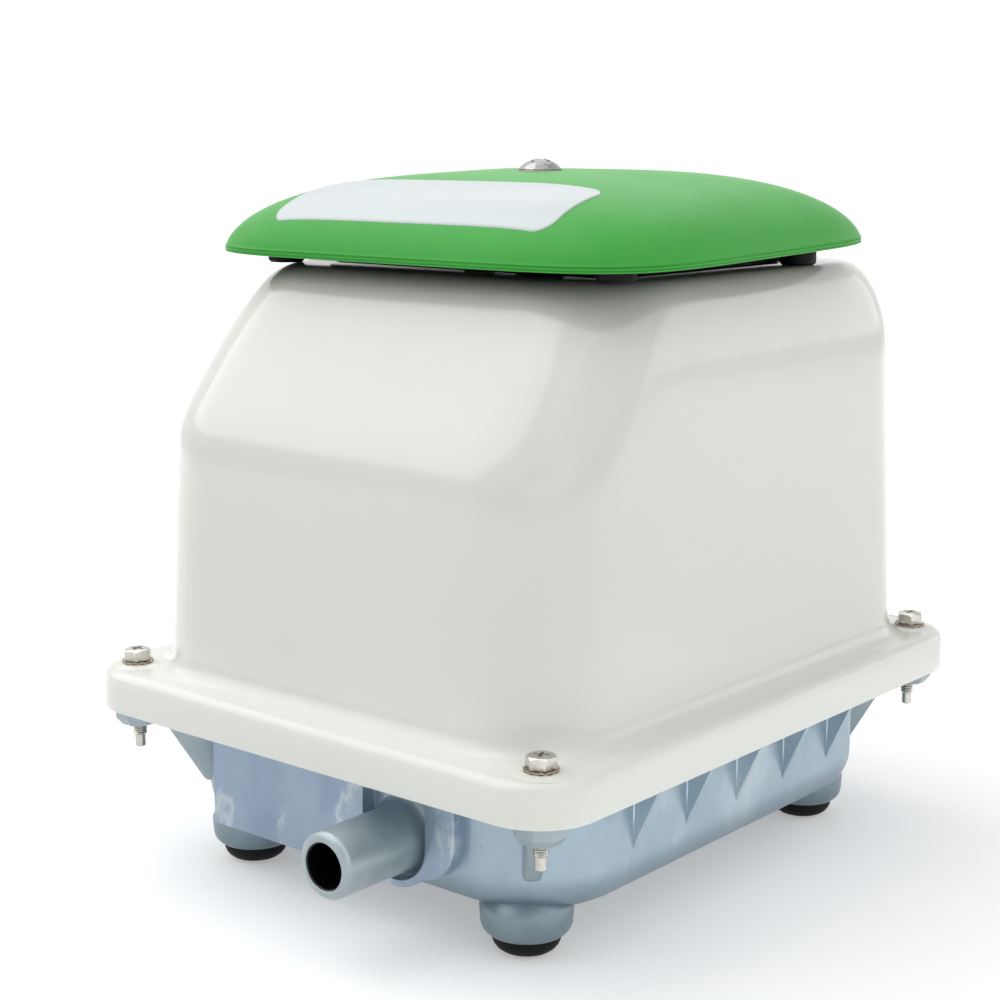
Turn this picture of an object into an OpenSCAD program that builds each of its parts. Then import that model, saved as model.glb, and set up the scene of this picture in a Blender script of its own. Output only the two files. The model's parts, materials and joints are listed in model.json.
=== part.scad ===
// Linear air pump: a cast tank base, a sheet housing with a sloped front,
// a screwed filter cover, and inside it a magnet rod that shakes two diaphragms.
// Front is -Y (the outlet side), up is +Z, the floor is z = 0.

/* [Base casting] */
// Width of the tank wall, across the short side
base_w = 144.4; // [140:0.2:148]
// Length of the tank wall
base_l = 168; // [164:0.5:172]
// Plan radius of the tank's corners
base_r = 30; // [26:1:32]
// Height of the tank's underside above the floor
base_bottom = 11.5; // [10:0.5:13]
// Radius along the tank's bottom edge
base_edge = 11; // [8:0.5:12]
// Thickness of the tank's walls
base_wall = 4; // [3:0.5:5]
// Distance from the centre line to a leg, across
leg_x = 51.8; // [50:0.2:53]
// Distance from the centre line to a leg, along
leg_y = 68.4; // [66:0.2:69]
// Diameter of a leg
leg_d = 23.5; // [22:0.5:25]
// Diameter of a rubber foot
foot_d = 17.5; // [15:0.5:19]
// Height of the rubber that shows under a leg
foot_show = 4.5; // [3.5:0.5:5]
// Number of gusset ribs on each long side
rib_count = 5; // [3:1:5]
// Distance between two ribs
rib_pitch = 24.3; // [20:0.1:25]

/* [Outlet] */
// Outside diameter of the outlet pipe
outlet_d = 18; // [17:0.5:19]
// Bore of the outlet pipe
outlet_bore = 12; // [10:0.5:13]
// Distance of the pipe from the centre line
outlet_x = 23; // [20:0.5:26]
// Height of the pipe's axis
outlet_z = 29; // [28:0.5:30]
// How far the pipe reaches past the flange
outlet_reach = 11; // [9:1:13]

/* [Housing] */
// Width of the flange
flange_w = 174; // [173:0.5:176]
// Length of the flange
flange_l = 206.5; // [205:0.5:209]
// Plan radius of the flange's corners
flange_r = 17.5; // [14:0.5:18]
// Height of the skirt's lower edge
flange_bottom = 47.9; // [47.5:0.1:48]
// Height of the ledge
flange_top = 59.5; // [59:0.1:60]
// Distance from the centre line to a bolt, across
bolt_x = 75; // [74:0.1:76]
// Distance from the centre line to a bolt, along
bolt_y = 91.5; // [91:0.1:92]
// Width of the housing's walls at the ledge
body_w = 153; // [152:0.5:154]
// Distance from the centre to the front wall at the ledge
body_front = 92; // [91:0.5:93]
// Distance from the centre to the back wall at the ledge
body_back = 96; // [95:0.5:96]
// Plan radius of the housing's corners
body_r = 28; // [26:1:30]
// Draft of the walls in degrees
wall_draft = 1.75; // [1:0.25:2]
// Height of the housing's top
body_top = 173.5; // [173:0.5:174]
// Height at which the front slope starts
slope_z = 129; // [126:1:132]
// Distance from the centre to the top of the slope
slope_y = 56; // [54:1:58]
// Wall thickness of the housing
shell = 2.5; // [2:0.5:3]

/* [Filter cover] */
// Width of the cover's rim
cover_w = 161.5; // [158:0.5:163]
// Length of the cover's rim
cover_l = 131.4; // [128:0.2:133]
// Height of the rim at the centre
rim_z = 178.6; // [178:0.1:179]
// Height of the cover's crown
cover_top = 200; // [199:0.5:200]
// Tilt of the cover in degrees, higher at the back
cover_tilt = 1.7; // [1:0.1:2]
// Wall thickness of the cover
cover_wall = 2.5; // [2:0.5:3]
// Distance from the centre line to a rubber pad, across
pad_x = 60; // [58:1:61]
// Distance from the centre line to a rubber pad, along
pad_y = 43.5; // [42:0.5:45]

/* [Pump unit] */
// Height of the rod's axis
rod_z = 104; // [104:1:105]
// Width of the diaphragm cases
case_w = 84; // [82:1:86]
// Diameter of the pump chambers
chamber_d = 58; // [56:1:58]
// Height of the stacked cores
core_h = 32; // [30:1:32]
// Distance from the centre to a tie bolt, across
tie_x = 24; // [23:0.5:25]
// Distance from the rod's axis to a tie bolt, up and down
tie_z = 31.5; // [31:0.5:32]

/* [Hidden] */
$fn = 64;
e = 0.01;

// The pump's centre sits behind the middle of its box by half the pipe's reach
centre_y = outlet_reach / 2;
outlet_end = flange_l / 2 + outlet_reach;

// Heights of the layers between the tank and the housing
seat_z = 47;
gasket_t = 1.5;
lid_t = 5;
lid_z = seat_z + gasket_t;
deck_z = lid_z + lid_t;
tank_top = 54.5;
skirt_t = 3;
skirt_in = flange_top - skirt_t;
tank_flange_z = 48.5;
recess_w = base_w - 6;
recess_l = base_l - 6;
floor_z = base_bottom + base_wall;
boss_z = 42;
boss_w = 13;
bolt_d = 4;
bolt_tip = 34.7;
pad_h = 0.6;
washer_z = flange_top + pad_h;
washer_t = 0.8;
head_h = 3.3;

// Rounding of the housing's top edge: inward over round_w, down over round_h
round_w = 10;
round_h = 28;
ledge_round = 3;

// Filter recess in the housing's top
recess_x = 104;
recess_y = 84;
recess_mid = 8;
recess_depth = 14;
recess_floor = body_top - recess_depth;
pillar_d = 14;
pillar_top = 186.5;
screw_d = 5;
seat_top = 199.6;
crown_h = cover_top - rim_z;
plan_power = 5.26;

// Layers of the pump unit, counted outward from its middle
frame_z = 63.5;
frame_t = 3;
plate_z = frame_z + frame_t;
core_in = 11.5;
core_out = 41.5;
core_l = 27;
yoke_t = 8;
pole_y = 7;
spacer_x = core_out - yoke_t / 2;
spacer_y = 20.5;
case_in = core_l;
case_out = 43.2;
dia_t = 2.5;
box_in = case_out + dia_t;
chamber_depth = 10;
seat_t = 3;
seat_in = box_in + chamber_depth;
seat_out = seat_in + seat_t;
box_out = 66;
cover_t = 3;
head_out = box_out + cover_t;
case_top = rod_z + 36;
case_bottom = rod_z - 36;
flap_x = 8.5;
flap_w = 16.5;
flap_h = 28;
flap_t = 0.6;
flap_gap = 0.05;
flap_top = rod_z + 14;
port_x = flap_x + flap_w / 2;
nipple_x = 33;
nipple_y = (seat_out + box_out) / 2;
nipple_d = 11;
lever_y = 23.5;
lever_z = 128;

steel = [0.72, 0.73, 0.74];
black = [0.07, 0.07, 0.08];
tank_blue = [0.62, 0.69, 0.77];

// ---------- helpers ----------

module place() {
    translate([0, centre_y, 0]) children();
}

// Repeats its children at the four points (+-x, +-y)
module four(x, y) {
    for (sx = [-1, 1], sy = [-1, 1])
        translate([sx * x, sy * y, 0]) children();
}

// Mirrors its children across x = 0 as well
module both_sides() {
    children();
    mirror([1, 0, 0]) children();
}

// Turns the front half's shape into the rear half's
module at_rear() {
    mirror([0, 1, 0]) children();
}

module rrect(w, l, r) {
    square([w - 2 * r, l], center = true);
    square([w, l - 2 * r], center = true);
    for (sx = [-1, 1], sy = [-1, 1])
        translate([sx * (w / 2 - r), sy * (l / 2 - r)]) circle(r);
}

module slab(w, l, r, z0, z1) {
    translate([0, 0, z0]) linear_extrude(z1 - z0) rrect(w, l, r);
}

module ring_slab(w, l, r, t, z0, z1) {
    difference() {
        slab(w, l, r, z0, z1);
        slab(w - 2 * t, l - 2 * t, max(r - t, 1), z0 - 1, z1 + 1);
    }
}

// Half of a plate's section, from its middle to its outer edge, top edge rounded
module half_section(reach, h, edge) {
    square([reach, h - edge]);
    square([reach - edge, h]);
    translate([reach - edge, h - edge]) circle(edge);
}

// Plate with plan corners r and a rounded top edge
module soft_plate(w, l, r, h, edge) {
    for (sx = [-1, 1], sy = [-1, 1])
        translate([sx * (w / 2 - r), sy * (l / 2 - r), 0])
            rotate_extrude()
                intersection() {
                    half_section(r, h, edge);
                    square([r, h]);
                }
    rotate([90, 0, 0])
        linear_extrude(l - 2 * r, center = true)
            for (side = [0, 1]) mirror([side, 0]) half_section(w / 2, h, edge);
    rotate([90, 0, 90])
        linear_extrude(w - 2 * r, center = true)
            for (side = [0, 1]) mirror([side, 0]) half_section(l / 2, h, edge);
}

// Solid through a stack of rings, each counted anticlockwise and all of one length
module loft(rings) {
    n = len(rings[0]);
    m = len(rings);
    sides = [for (i = [0 : m - 2], k = [0 : n - 1], half = [0, 1])
        let (a = n * i + k, b = n * i + (k + 1) % n)
        half == 0 ? [a, a + n, b + n] : [a, b + n, b]];
    ends = [[for (k = [0 : n - 1]) k], [for (k = [n - 1 : -1 : 0]) n * (m - 1) + k]];
    polyhedron(points = [for (ring = rings) each ring], faces = concat(sides, ends), convexity = 8);
}

// Rod of diameter d along Y between y0 and y1
module y_rod(x, z, d, y0, y1) {
    translate([x, y0, z]) rotate([-90, 0, 0]) cylinder(h = y1 - y0, d = d);
}

module y_hex(x, z, flats, y0, y1) {
    translate([x, y0, z]) rotate([-90, 0, 0]) cylinder(h = y1 - y0, d = flats / cos(30), $fn = 6);
}

module x_rod(y, z, d, x0, x1) {
    translate([x0, y, z]) rotate([0, 90, 0]) cylinder(h = x1 - x0, d = d);
}

module z_hex(flats, z0, z1) {
    translate([0, 0, z0]) cylinder(h = z1 - z0, d = flats / cos(30), $fn = 6);
}

module block(x0, x1, y0, y1, z0, z1) {
    translate([x0, y0, z0]) cube([x1 - x0, y1 - y0, z1 - z0]);
}

// ---------- tank ----------

module tank_shape() {
    translate([0, 0, tank_top]) mirror([0, 0, 1])
        soft_plate(base_w, base_l, base_r, tank_top - base_bottom, base_edge);
}

module rib(y) {
    rib_t = 2;
    translate([0, y + rib_t / 2, 0]) rotate([90, 0, 0]) linear_extrude(rib_t)
        polygon([[base_w / 2, 29], [base_w / 2 + 9.5, tank_flange_z], [base_w / 2, tank_flange_z]]);
}

// Gusset from a bolt boss back to the rounded wall corner, at 45 degrees
module corner_gusset() {
    gusset_t = 5;
    translate([bolt_x, bolt_y, 0]) rotate([0, 0, 225]) rotate([90, 0, 0])
        translate([0, 0, -gusset_t / 2]) linear_extrude(gusset_t)
            polygon([[18.5, 24], [27, 24], [27, tank_flange_z], [4, tank_flange_z],
                [4, boss_z + 1], [6.6, boss_z + 0.5]]);
}

module leg() {
    post_bottom = foot_show - 0.7;
    edge = 3;
    translate([0, 0, post_bottom]) {
        translate([0, 0, edge]) cylinder(h = base_bottom - post_bottom - edge, d = leg_d);
        rotate_extrude()
            intersection() {
                union() {
                    square([leg_d / 2 - edge, edge]);
                    translate([leg_d / 2 - edge, edge]) circle(edge);
                }
                square([leg_d / 2, edge + e]);
            }
    }
}

// Flat cast pad on the front wall, open in a U around the root of the pipe
module front_pad() {
    pad_left = -47;
    pad_right = 44;
    rim_t = 2;
    pocket = 22;
    wall = base_l / 2;
    difference() {
        union() {
            block(pad_left, outlet_x - pocket / 2, -wall - 4.5, -wall + 8, 17, tank_flange_z);
            block(outlet_x - pocket / 2, pad_right, -wall - 4.5, -wall + 8,
                outlet_z, tank_flange_z);
            y_rod(outlet_x, outlet_z, pocket + 2 * rim_t, -wall - 4.5, -wall + 8);
            block(outlet_x, pad_right, -wall - 4.5, -wall + 8, outlet_z - 5, outlet_z + 1);
        }
        block(outlet_x - pocket / 2, outlet_x + pocket / 2, -wall - 6, -wall, outlet_z, seat_z + 8);
        y_rod(outlet_x, outlet_z, pocket, -wall - 6, -wall);
    }
}

module tank_screw_points() {
    for (y = [-50, 0, 50]) for (sx = [-1, 1]) translate([sx * 60.5, y, 0]) children();
}

module bolt_holes(d) {
    four(bolt_x, bolt_y) translate([0, 0, bolt_tip]) cylinder(h = 30, d = d);
}

// The casting is drawn as walls, legs, flange, brackets and pipe, which meet face to face
module tank_base() {
    color(tank_blue) place() {
        difference() {
            union() {
                tank_shape();
                four(leg_x, leg_y) translate([0, 0, base_bottom]) cylinder(h = base_wall, d = leg_d);
                front_pad();
            }
            slab(base_w - 2 * base_wall, base_l - 2 * base_wall, base_r - base_wall, floor_z,
                seat_z - 6);
            slab(base_w - 16, base_l - 16, base_r - 8, seat_z - 7, seat_z);
            slab(recess_w, recess_l, base_r - 3, seat_z - e, tank_top + 1);
            y_rod(outlet_x, outlet_z, outlet_bore, -outlet_end - 1, -base_l / 2 + base_wall + 1);
        }
        difference() {
            union() {
                tank_screw_points() translate([0, 0, floor_z - 1]) cylinder(h = seat_z - floor_z + 1, d = 10);
                block(-1.5, 1.5, -base_l / 2 + 3, base_l / 2 - 3, floor_z - 1, seat_z);
            }
            tank_screw_points() translate([0, 0, seat_z - 10]) cylinder(h = 12, d = bolt_d);
            for (y = [-30, 45]) x_rod(y, 34, 18, -5, 5);
        }
    }
}

module tank_legs() {
    color(tank_blue) place() four(leg_x, leg_y)
        difference() {
            leg();
            translate([0, 0, -1]) cylinder(h = 11, d = 8);
        }
}

module tank_flange() {
    color(tank_blue) place() difference() {
        slab(flange_w - 7, flange_l - 7, flange_r - 3.5, tank_flange_z, tank_top);
        slab(base_w, base_l, base_r, tank_flange_z - 1, tank_top + 1);
        bolt_holes(bolt_d);
    }
}

module tank_brackets() {
    color(tank_blue) place() {
        difference() {
            union() {
                four(bolt_x, bolt_y)
                    translate([0, 0, boss_z]) rotate([0, 0, 22.5])
                        cylinder(h = tank_flange_z - boss_z, d = boss_w / cos(22.5), $fn = 8);
                both_sides() {
                    corner_gusset();
                    mirror([0, 1, 0]) corner_gusset();
                }
            }
            slab(base_w, base_l, base_r, base_bottom, tank_top);
            bolt_holes(bolt_d);
        }
        both_sides()
            for (i = [0 : rib_count - 1]) rib((i - (rib_count - 1) / 2) * rib_pitch);
    }
}

module outlet_stub() {
    color(tank_blue) place() difference() {
        union() {
            y_rod(outlet_x, outlet_z, outlet_d, -outlet_end + 2, -base_l / 2);
            translate([outlet_x, -outlet_end + 2, outlet_z]) rotate([90, 0, 0])
                rotate_extrude()
                    intersection() {
                        union() {
                            square([outlet_d / 2 - 2, 2]);
                            translate([outlet_d / 2 - 2, 0]) circle(2);
                        }
                        square([outlet_d / 2, 2]);
                    }
        }
        y_rod(outlet_x, outlet_z, outlet_bore, -outlet_end - 1, -base_l / 2 + 1);
    }
}

module rubber_feet() {
    color(black) place() four(leg_x, leg_y) {
        rotate_extrude() {
            polygon([[0, 0], [foot_d / 2 - 2.8, 0], [foot_d / 2 - 1.3, 0.9], [foot_d / 2 - 0.4, 2.1],
                [foot_d / 2, 3.3], [foot_d / 2, foot_show - 0.7], [0, foot_show - 0.7]]);
        }
        translate([0, 0, foot_show - 1]) cylinder(h = 11 - foot_show, d = 8);
    }
}

module tank_gasket() {
    color(black) place() difference() {
        ring_slab(recess_w, recess_l, base_r - 3, 12, seat_z, lid_z);
        tank_screw_points() translate([0, 0, seat_z - 1]) cylinder(h = 4, d = bolt_d + 0.4);
    }
}

module hose_points() {
    for (s = [-1, 1]) translate([nipple_x, s * nipple_y, 0]) children();
}

module tank_lid() {
    color([0.66, 0.68, 0.7]) place() difference() {
        union() {
            slab(recess_w, recess_l, base_r - 3, lid_z, deck_z);
            hose_points() translate([0, 0, deck_z - 1]) cylinder(h = 6.5, d = nipple_d);
        }
        tank_screw_points() translate([0, 0, lid_z - 1]) cylinder(h = 8, d = bolt_d + 0.4);
        hose_points() translate([0, 0, lid_z - 1]) cylinder(h = 14, d = 7);
        four(36, 34) translate([0, 0, lid_z + 1]) cylinder(h = 8, d = 3.4);
    }
}

module tank_lid_screws() {
    color(steel) place() tank_screw_points() {
        translate([0, 0, seat_z - 9]) cylinder(h = deck_z - seat_z + 9.5, d = bolt_d);
        difference() {
            translate([0, 0, deck_z]) cylinder(h = 2.6, d = 7.5);
            block(-2.4, 2.4, -0.5, 0.5, deck_z + 1.6, deck_z + 3);
            block(-0.5, 0.5, -2.4, 2.4, deck_z + 1.6, deck_z + 3);
        }
    }
}

// ---------- housing ----------

function draft_in(z) = (z - flange_top) * tan(wall_draft);
function round_in(z, w, h) =
    z <= body_top - h ? 0 : w * (1 - sqrt(max(0, 1 - pow((z - body_top + h) / h, 2))));
function soft_min(a, b, s) = -s * ln(exp(-a / s) + exp(-b / s));
function half_x(z) = body_w / 2 - draft_in(z) - round_in(z, round_w, round_h);
function back_y(z) = body_back - draft_in(z) - round_in(z, round_w, round_h);
slope_run = body_front - draft_in(slope_z) - slope_y;
function slope_at(z) = slope_y + slope_run * (body_top - z) / (body_top - slope_z);
function front_y(z) =
    soft_min(body_front - draft_in(z), slope_at(z), 2.2) - round_in(z, 5, 5);

// Concave foot of the wall: how far it stands out at each height
function foot_out(z) =
    lookup(z, [[flange_top - 1, 6.5], [flange_top, 5.5], [60.1, 3], [61, 1.7], [62.5, 0.6], [65, 0]]);

LEVELS = [58.5, 59.5, 60.1, 61, 62.5, 65, 90, 115, 122, 127, 131, 136, 142, 148, 154, 159, 163,
    166.5, 169, 171, 172.5, 173.5];

// Outline of the housing's outer form at height z, drawn in by t and lowered by t
function level(z, t) =
    let (flare = t > 0 ? 0 : foot_out(z), grow = flare - t, r = body_r + grow,
        x = half_x(z) + grow - r, front = front_y(z) + grow - r, back = back_y(z) + grow - r)
    [for (c = [0 : 3], k = [0 : 8]) let (a = 90 * c + 11.25 * k)
        [(c == 0 || c == 3 ? x : -x) + r * cos(a), (c < 2 ? back : -front) + r * sin(a), z - t]];

module body_form(t) {
    bottom = [for (p = level(flange_top, t)) [p[0], p[1], flange_top - 6]];
    loft(t > 0 ? concat([bottom], [for (z = LEVELS) if (z > 66) level(z, t)])
        : [for (z = LEVELS) level(z, 0)]);
}

module filter_tray(grow, z0, z1) {
    translate([0, recess_mid, 0]) slab(recess_x + 2 * grow, recess_y + 2 * grow, 8 + grow, z0, z1);
}

gland_x = -45;
gland_z = 80;

module housing() {
    color([0.9, 0.91, 0.88]) place() {
        difference() {
            union() {
                translate([0, 0, flange_bottom])
                    soft_plate(flange_w, flange_l, flange_r, flange_top - flange_bottom, ledge_round);
                four(bolt_x, bolt_y) translate([0, 0, flange_top - 1]) cylinder(h = 1 + pad_h, d = 15);
                body_form(0);
                y_rod(gland_x, gland_z, 22, 80, 96.5);
            }
            difference() {
                body_form(shell);
                filter_tray(shell, recess_floor - shell, body_top + 1);
            }
            slab(flange_w - 2 * skirt_t, flange_l - 2 * skirt_t, flange_r - skirt_t,
                flange_bottom - 1, skirt_in);
            filter_tray(0, recess_floor, body_top + 1);
            four(bolt_x, bolt_y) translate([0, 0, 40]) cylinder(h = 30, d = bolt_d + 0.6);
            four(bolt_x, bolt_y) translate([0, 0, washer_z]) cylinder(h = 5, d = 10);
            for (i = [-3 : 3]) if (i != 0)
                translate([i * 13, recess_mid, recess_floor - 5]) linear_extrude(8) rrect(6, 60, 2.9);
            y_rod(gland_x, gland_z, 12, 70, 100);
        }
        difference() {
            translate([0, 0, recess_floor - shell])
                cylinder(h = pillar_top - recess_floor + shell, d = pillar_d);
            translate([0, 0, recess_floor]) cylinder(h = 40, d = screw_d + 0.12);
        }
        difference() {
            y_rod(gland_x, gland_z, 22, 92.4, 94);
            y_rod(gland_x, gland_z, 12, 70, 100);
        }
    }
}

module housing_gasket() {
    color(black) place() difference() {
        ring_slab(flange_w - 8, flange_l - 8, flange_r - 4, 11, tank_top, skirt_in);
        four(bolt_x, bolt_y) translate([0, 0, 40]) cylinder(h = 30, d = bolt_d + 0.6);
    }
}

module housing_bolts() {
    top = washer_z + washer_t;
    color(steel) place() four(bolt_x, bolt_y) {
        difference() {
            intersection() {
                z_hex(7, top, top + head_h);
                translate([0, 0, top]) cylinder(h = head_h, d1 = 9.4, d2 = 6.9);
            }
            block(-2, 2, -0.5, 0.5, top + 1.8, top + 4);
            block(-0.5, 0.5, -2, 2, top + 1.8, top + 4);
        }
        translate([0, 0, 38.5]) cylinder(h = top - 38.5 + e, d = bolt_d);
        translate([0, 0, bolt_tip]) cylinder(h = 5, d = 3);
    }
}

module tooth_washers() {
    color([0.6, 0.58, 0.55]) place() four(bolt_x, bolt_y) translate([0, 0, washer_z])
        linear_extrude(washer_t) difference() {
            union() {
                circle(d = 8.2);
                for (a = [0 : 30 : 330]) rotate(a) translate([4, 0]) square([0.9, 1.1], center = true);
            }
            circle(d = bolt_d + 0.3);
        }
}

module cord_gland() {
    color(black) place() difference() {
        union() {
            y_rod(gland_x, gland_z, 12, 86, 97);
            y_hex(gland_x, gland_z, 16, 88.4, 92.4);
            y_hex(gland_x, gland_z, 19, 96.5, 99.5);
            y_rod(gland_x, gland_z, 16, 99.5, 102);
            translate([gland_x, 102, gland_z]) rotate([-90, 0, 0]) cylinder(h = 1.25, d1 = 16, d2 = 12.5);
        }
        y_rod(gland_x, gland_z, 7.4, 85, 104);
    }
}

module filter_element() {
    color([0.35, 0.36, 0.38]) place() difference() {
        translate([0, recess_mid, 0]) slab(recess_x, recess_y, 8, recess_floor, body_top - 1);
        translate([0, 0, recess_floor - 1]) cylinder(h = 20, d = pillar_d);
    }
}

// ---------- filter cover ----------

// Level of the dome as a share of its height, from the share of its reach
function dome(s) = pow(1 - pow(s, 3), 0.55);
function reach_share(x, y) =
    pow(pow(abs(x) / (cover_w / 2), plan_power) + pow(abs(y) / (cover_l / 2), plan_power),
        1 / plan_power);
function dome_z(x, y) = rim_z + crown_h * dome(reach_share(x, y)) + y * tan(cover_tilt);
function bowed(a, half) = half * sign(a) * pow(abs(a), 2 / plan_power);

function rim_ring(half_w, half_l, z) =
    [for (a = [0 : 7.5 : 352.5]) [bowed(cos(a), half_w), bowed(sin(a), half_l), z]];

SHARES = [0.98, 0.945, 0.89, 0.82, 0.73, 0.62, 0.48, 0.3, 0.12];

// Solid dome of the cover, grown outward by t
module dome_form(t) {
    w = cover_w / 2;
    l = cover_l / 2;
    translate([0, 0, rim_z]) rotate([cover_tilt, 0, 0])
        loft(concat([rim_ring(w + t - 0.5, l + t - 0.5, 0), rim_ring(w + t, l + t, 0.7)],
            [for (s = SHARES) rim_ring(s * (w + t), s * (l + t), dome(s) * crown_h + t)]));
}

module filter_cover() {
    color([0.3, 0.65, 0.3]) place() difference() {
        union() {
            difference() {
                dome_form(0);
                translate([0, 0, -0.5]) dome_form(-cover_wall);
            }
            difference() {
                translate([0, 0, 187]) cylinder(h = 12, d = 15);
                translate([0, 0, seat_top]) cylinder(h = 5, d = 20);
            }
            for (sx = [-1, 1], sy = [-1, 1]) {
                top = dome_z(pad_x + 3.2, sy * (pad_y + 3.2)) - 1;
                translate([sx * pad_x, sy * pad_y, rim_z]) cylinder(h = top - rim_z, d = 9);
            }
        }
        translate([0, 0, seat_top]) cylinder(h = 3, d = 15);
        translate([0, 0, 180]) cylinder(h = 30, d = screw_d + 0.14);
    }
}

module cover_pads() {
    color(black) place() four(pad_x, pad_y)
        translate([0, 0, body_top + 0.05]) cylinder(h = rim_z - body_top - 0.05, d = 10.5);
}

module label_plate() {
    color([0.88, 0.9, 0.93]) place() intersection() {
        difference() {
            dome_form(0.4);
            dome_form(0);
        }
        translate([0, -46.5, 184]) linear_extrude(30) rrect(102, 27, 5);
    }
}

module screw_washer() {
    color([0.5, 0.5, 0.52]) place() difference() {
        translate([0, 0, seat_top]) cylinder(h = 0.5, d = 13.5);
        translate([0, 0, seat_top - 1]) cylinder(h = 3, d = screw_d + 0.14);
    }
}

module cover_screw() {
    base = seat_top + 0.55;
    head_r = 6.45;
    head = 3.2;
    curve = (head_r * head_r + head * head) / (2 * head);
    color([0.35, 0.35, 0.37]) place() difference() {
        union() {
            translate([0, 0, base]) rotate_extrude() intersection() {
                translate([0, head - curve]) circle(curve, $fn = 128);
                square([head_r, head]);
            }
            translate([0, 0, 172]) cylinder(h = base - 172 + e, d = screw_d);
        }
        block(-3.6, 3.6, -0.6, 0.6, base + 1.6, base + 4);
        block(-0.6, 0.6, -3.6, 3.6, base + 1.6, base + 4);
    }
}

// ---------- pump unit: frame, cores and coils ----------

module pump_frame() {
    color([0.75, 0.76, 0.78]) place() difference() {
        slab(88, 90, 6, frame_z, plate_z);
        four(36, 34) translate([0, 0, frame_z - 1]) cylinder(h = 5, d = 4);
        four(spacer_x, spacer_y) translate([0, 0, frame_z - 1]) cylinder(h = 5, d = 4.4);
        slab(40, 36, 5, frame_z - 1, plate_z + 1);
    }
}

module rubber_mounts() {
    color(black) place() four(36, 34) translate([0, 0, deck_z]) rotate_extrude() difference() {
        translate([2, 0]) square([6, frame_z - deck_z]);
        translate([9.2, (frame_z - deck_z) / 2]) circle(2.8);
    }
}

module mount_studs() {
    color(steel) place() four(36, 34) {
        translate([0, 0, deck_z - 3.5]) cylinder(h = 4, d = 3.4);
        translate([0, 0, deck_z]) cylinder(h = plate_z - deck_z, d = 4);
    }
}

module core() {
    difference() {
        translate([0, 0, rod_z - core_h / 2]) linear_extrude(core_h) difference() {
            translate([core_in, -core_l]) square([core_out - core_in, 2 * core_l]);
            for (s = [-1, 1]) translate([core_in - 1, s * 13.5 - 6.5])
                square([core_out - core_in - yoke_t + 1, 13]);
        }
        for (s = [-1, 1]) translate([spacer_x, s * spacer_y, 60]) cylinder(h = 80, d = 4.4);
    }
}

// Frame of the winding, seen along X: h half height, w half width
module winding(half_y, half_z, in_y, in_z, x0, x1) {
    translate([x0, 0, rod_z]) rotate([90, 0, 90]) linear_extrude(x1 - x0) difference() {
        rrect(2 * half_y, 2 * half_z, 4);
        square([2 * in_y, 2 * in_z], center = true);
    }
}

module bobbin() {
    tube = 1.2;
    winding(pole_y + tube, core_h / 2 + tube, pole_y, core_h / 2, 12, 33.5);
    winding(19.5, 27, pole_y, core_h / 2, 12, 13.2);
    winding(19.5, 27, pole_y, core_h / 2, 32.3, 33.5);
}

module coil() {
    winding(18.6, 26.2, pole_y + 1.2, core_h / 2 + 1.2, 13.2, 32.3);
}

module core_right() {
    color([0.35, 0.37, 0.4]) place() core();
}

module core_left() {
    color([0.35, 0.37, 0.4]) place() mirror([1, 0, 0]) core();
}

module bobbin_right() {
    color([0.85, 0.84, 0.78]) place() bobbin();
}

module bobbin_left() {
    color([0.85, 0.84, 0.78]) place() mirror([1, 0, 0]) bobbin();
}

module coil_right() {
    color([0.65, 0.32, 0.15]) place() coil();
}

module coil_left() {
    color([0.65, 0.32, 0.15]) place() mirror([1, 0, 0]) coil();
}

module core_spacers() {
    color(steel) place() four(spacer_x, spacer_y) difference() {
        translate([0, 0, plate_z]) cylinder(h = rod_z - core_h / 2 - plate_z, d = 8);
        translate([0, 0, plate_z - 1]) cylinder(h = 40, d = 4.4);
    }
}

module core_bolts() {
    top = rod_z + core_h / 2;
    color(steel) place() four(spacer_x, spacer_y) {
        z_hex(7, top, top + 2.8);
        translate([0, 0, 58]) cylinder(h = top - 58 + e, d = 4);
        z_hex(7, frame_z - 3.2, frame_z);
    }
}

// ---------- rod and diaphragms ----------

module magnet_windows(grow) {
    for (s = [-1, 1]) block(-8, 8, s * 13.5 - 7 - grow, s * 13.5 + 7 + grow,
        rod_z - 12 - grow, rod_z + 12 + grow);
}

module magnet_rod() {
    color([0.2, 0.21, 0.23]) place() {
        difference() {
            translate([0, 0, rod_z]) rotate([90, 0, 90])
                linear_extrude(10, center = true) rrect(72, 28, 3);
            magnet_windows(0);
        }
        for (s = [-1, 1]) block(-3, 3, 23.5 + s * 6 - 0.75, 23.5 + s * 6 + 0.75, rod_z + 13, rod_z + 17.5);
        y_rod(0, rod_z, 12, -40.4, -35);
        y_rod(0, rod_z, 12, 35, 40.4);
        y_rod(0, rod_z, 8, -52.7, -40);
        y_rod(0, rod_z, 8, 40, 52.7);
    }
}

module rod_magnets() {
    color([0.25, 0.25, 0.27]) place() for (s = [-1, 1])
        block(-7.5, 7.5, s * 13.5 - 7, s * 13.5 + 7, rod_z - 12, rod_z + 12);
}

module clamp_discs() {
    color(steel) place() for (s = [-1, 1]) difference() {
        union() {
            y_rod(0, rod_z, 30, min(s * 40.4, s * 43.15), max(s * 40.4, s * 43.15));
            y_rod(0, rod_z, 30, min(s * 45.75, s * 48.2), max(s * 45.75, s * 48.2));
        }
        y_rod(0, rod_z, 8, -60, 60);
    }
}

module rod_nuts() {
    color(steel) place() for (s = [-1, 1]) difference() {
        y_hex(0, rod_z, 12, min(s * 48.2, s * 52.2), max(s * 48.2, s * 52.2));
        y_rod(0, rod_z, 8, -60, 60);
    }
}

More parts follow.
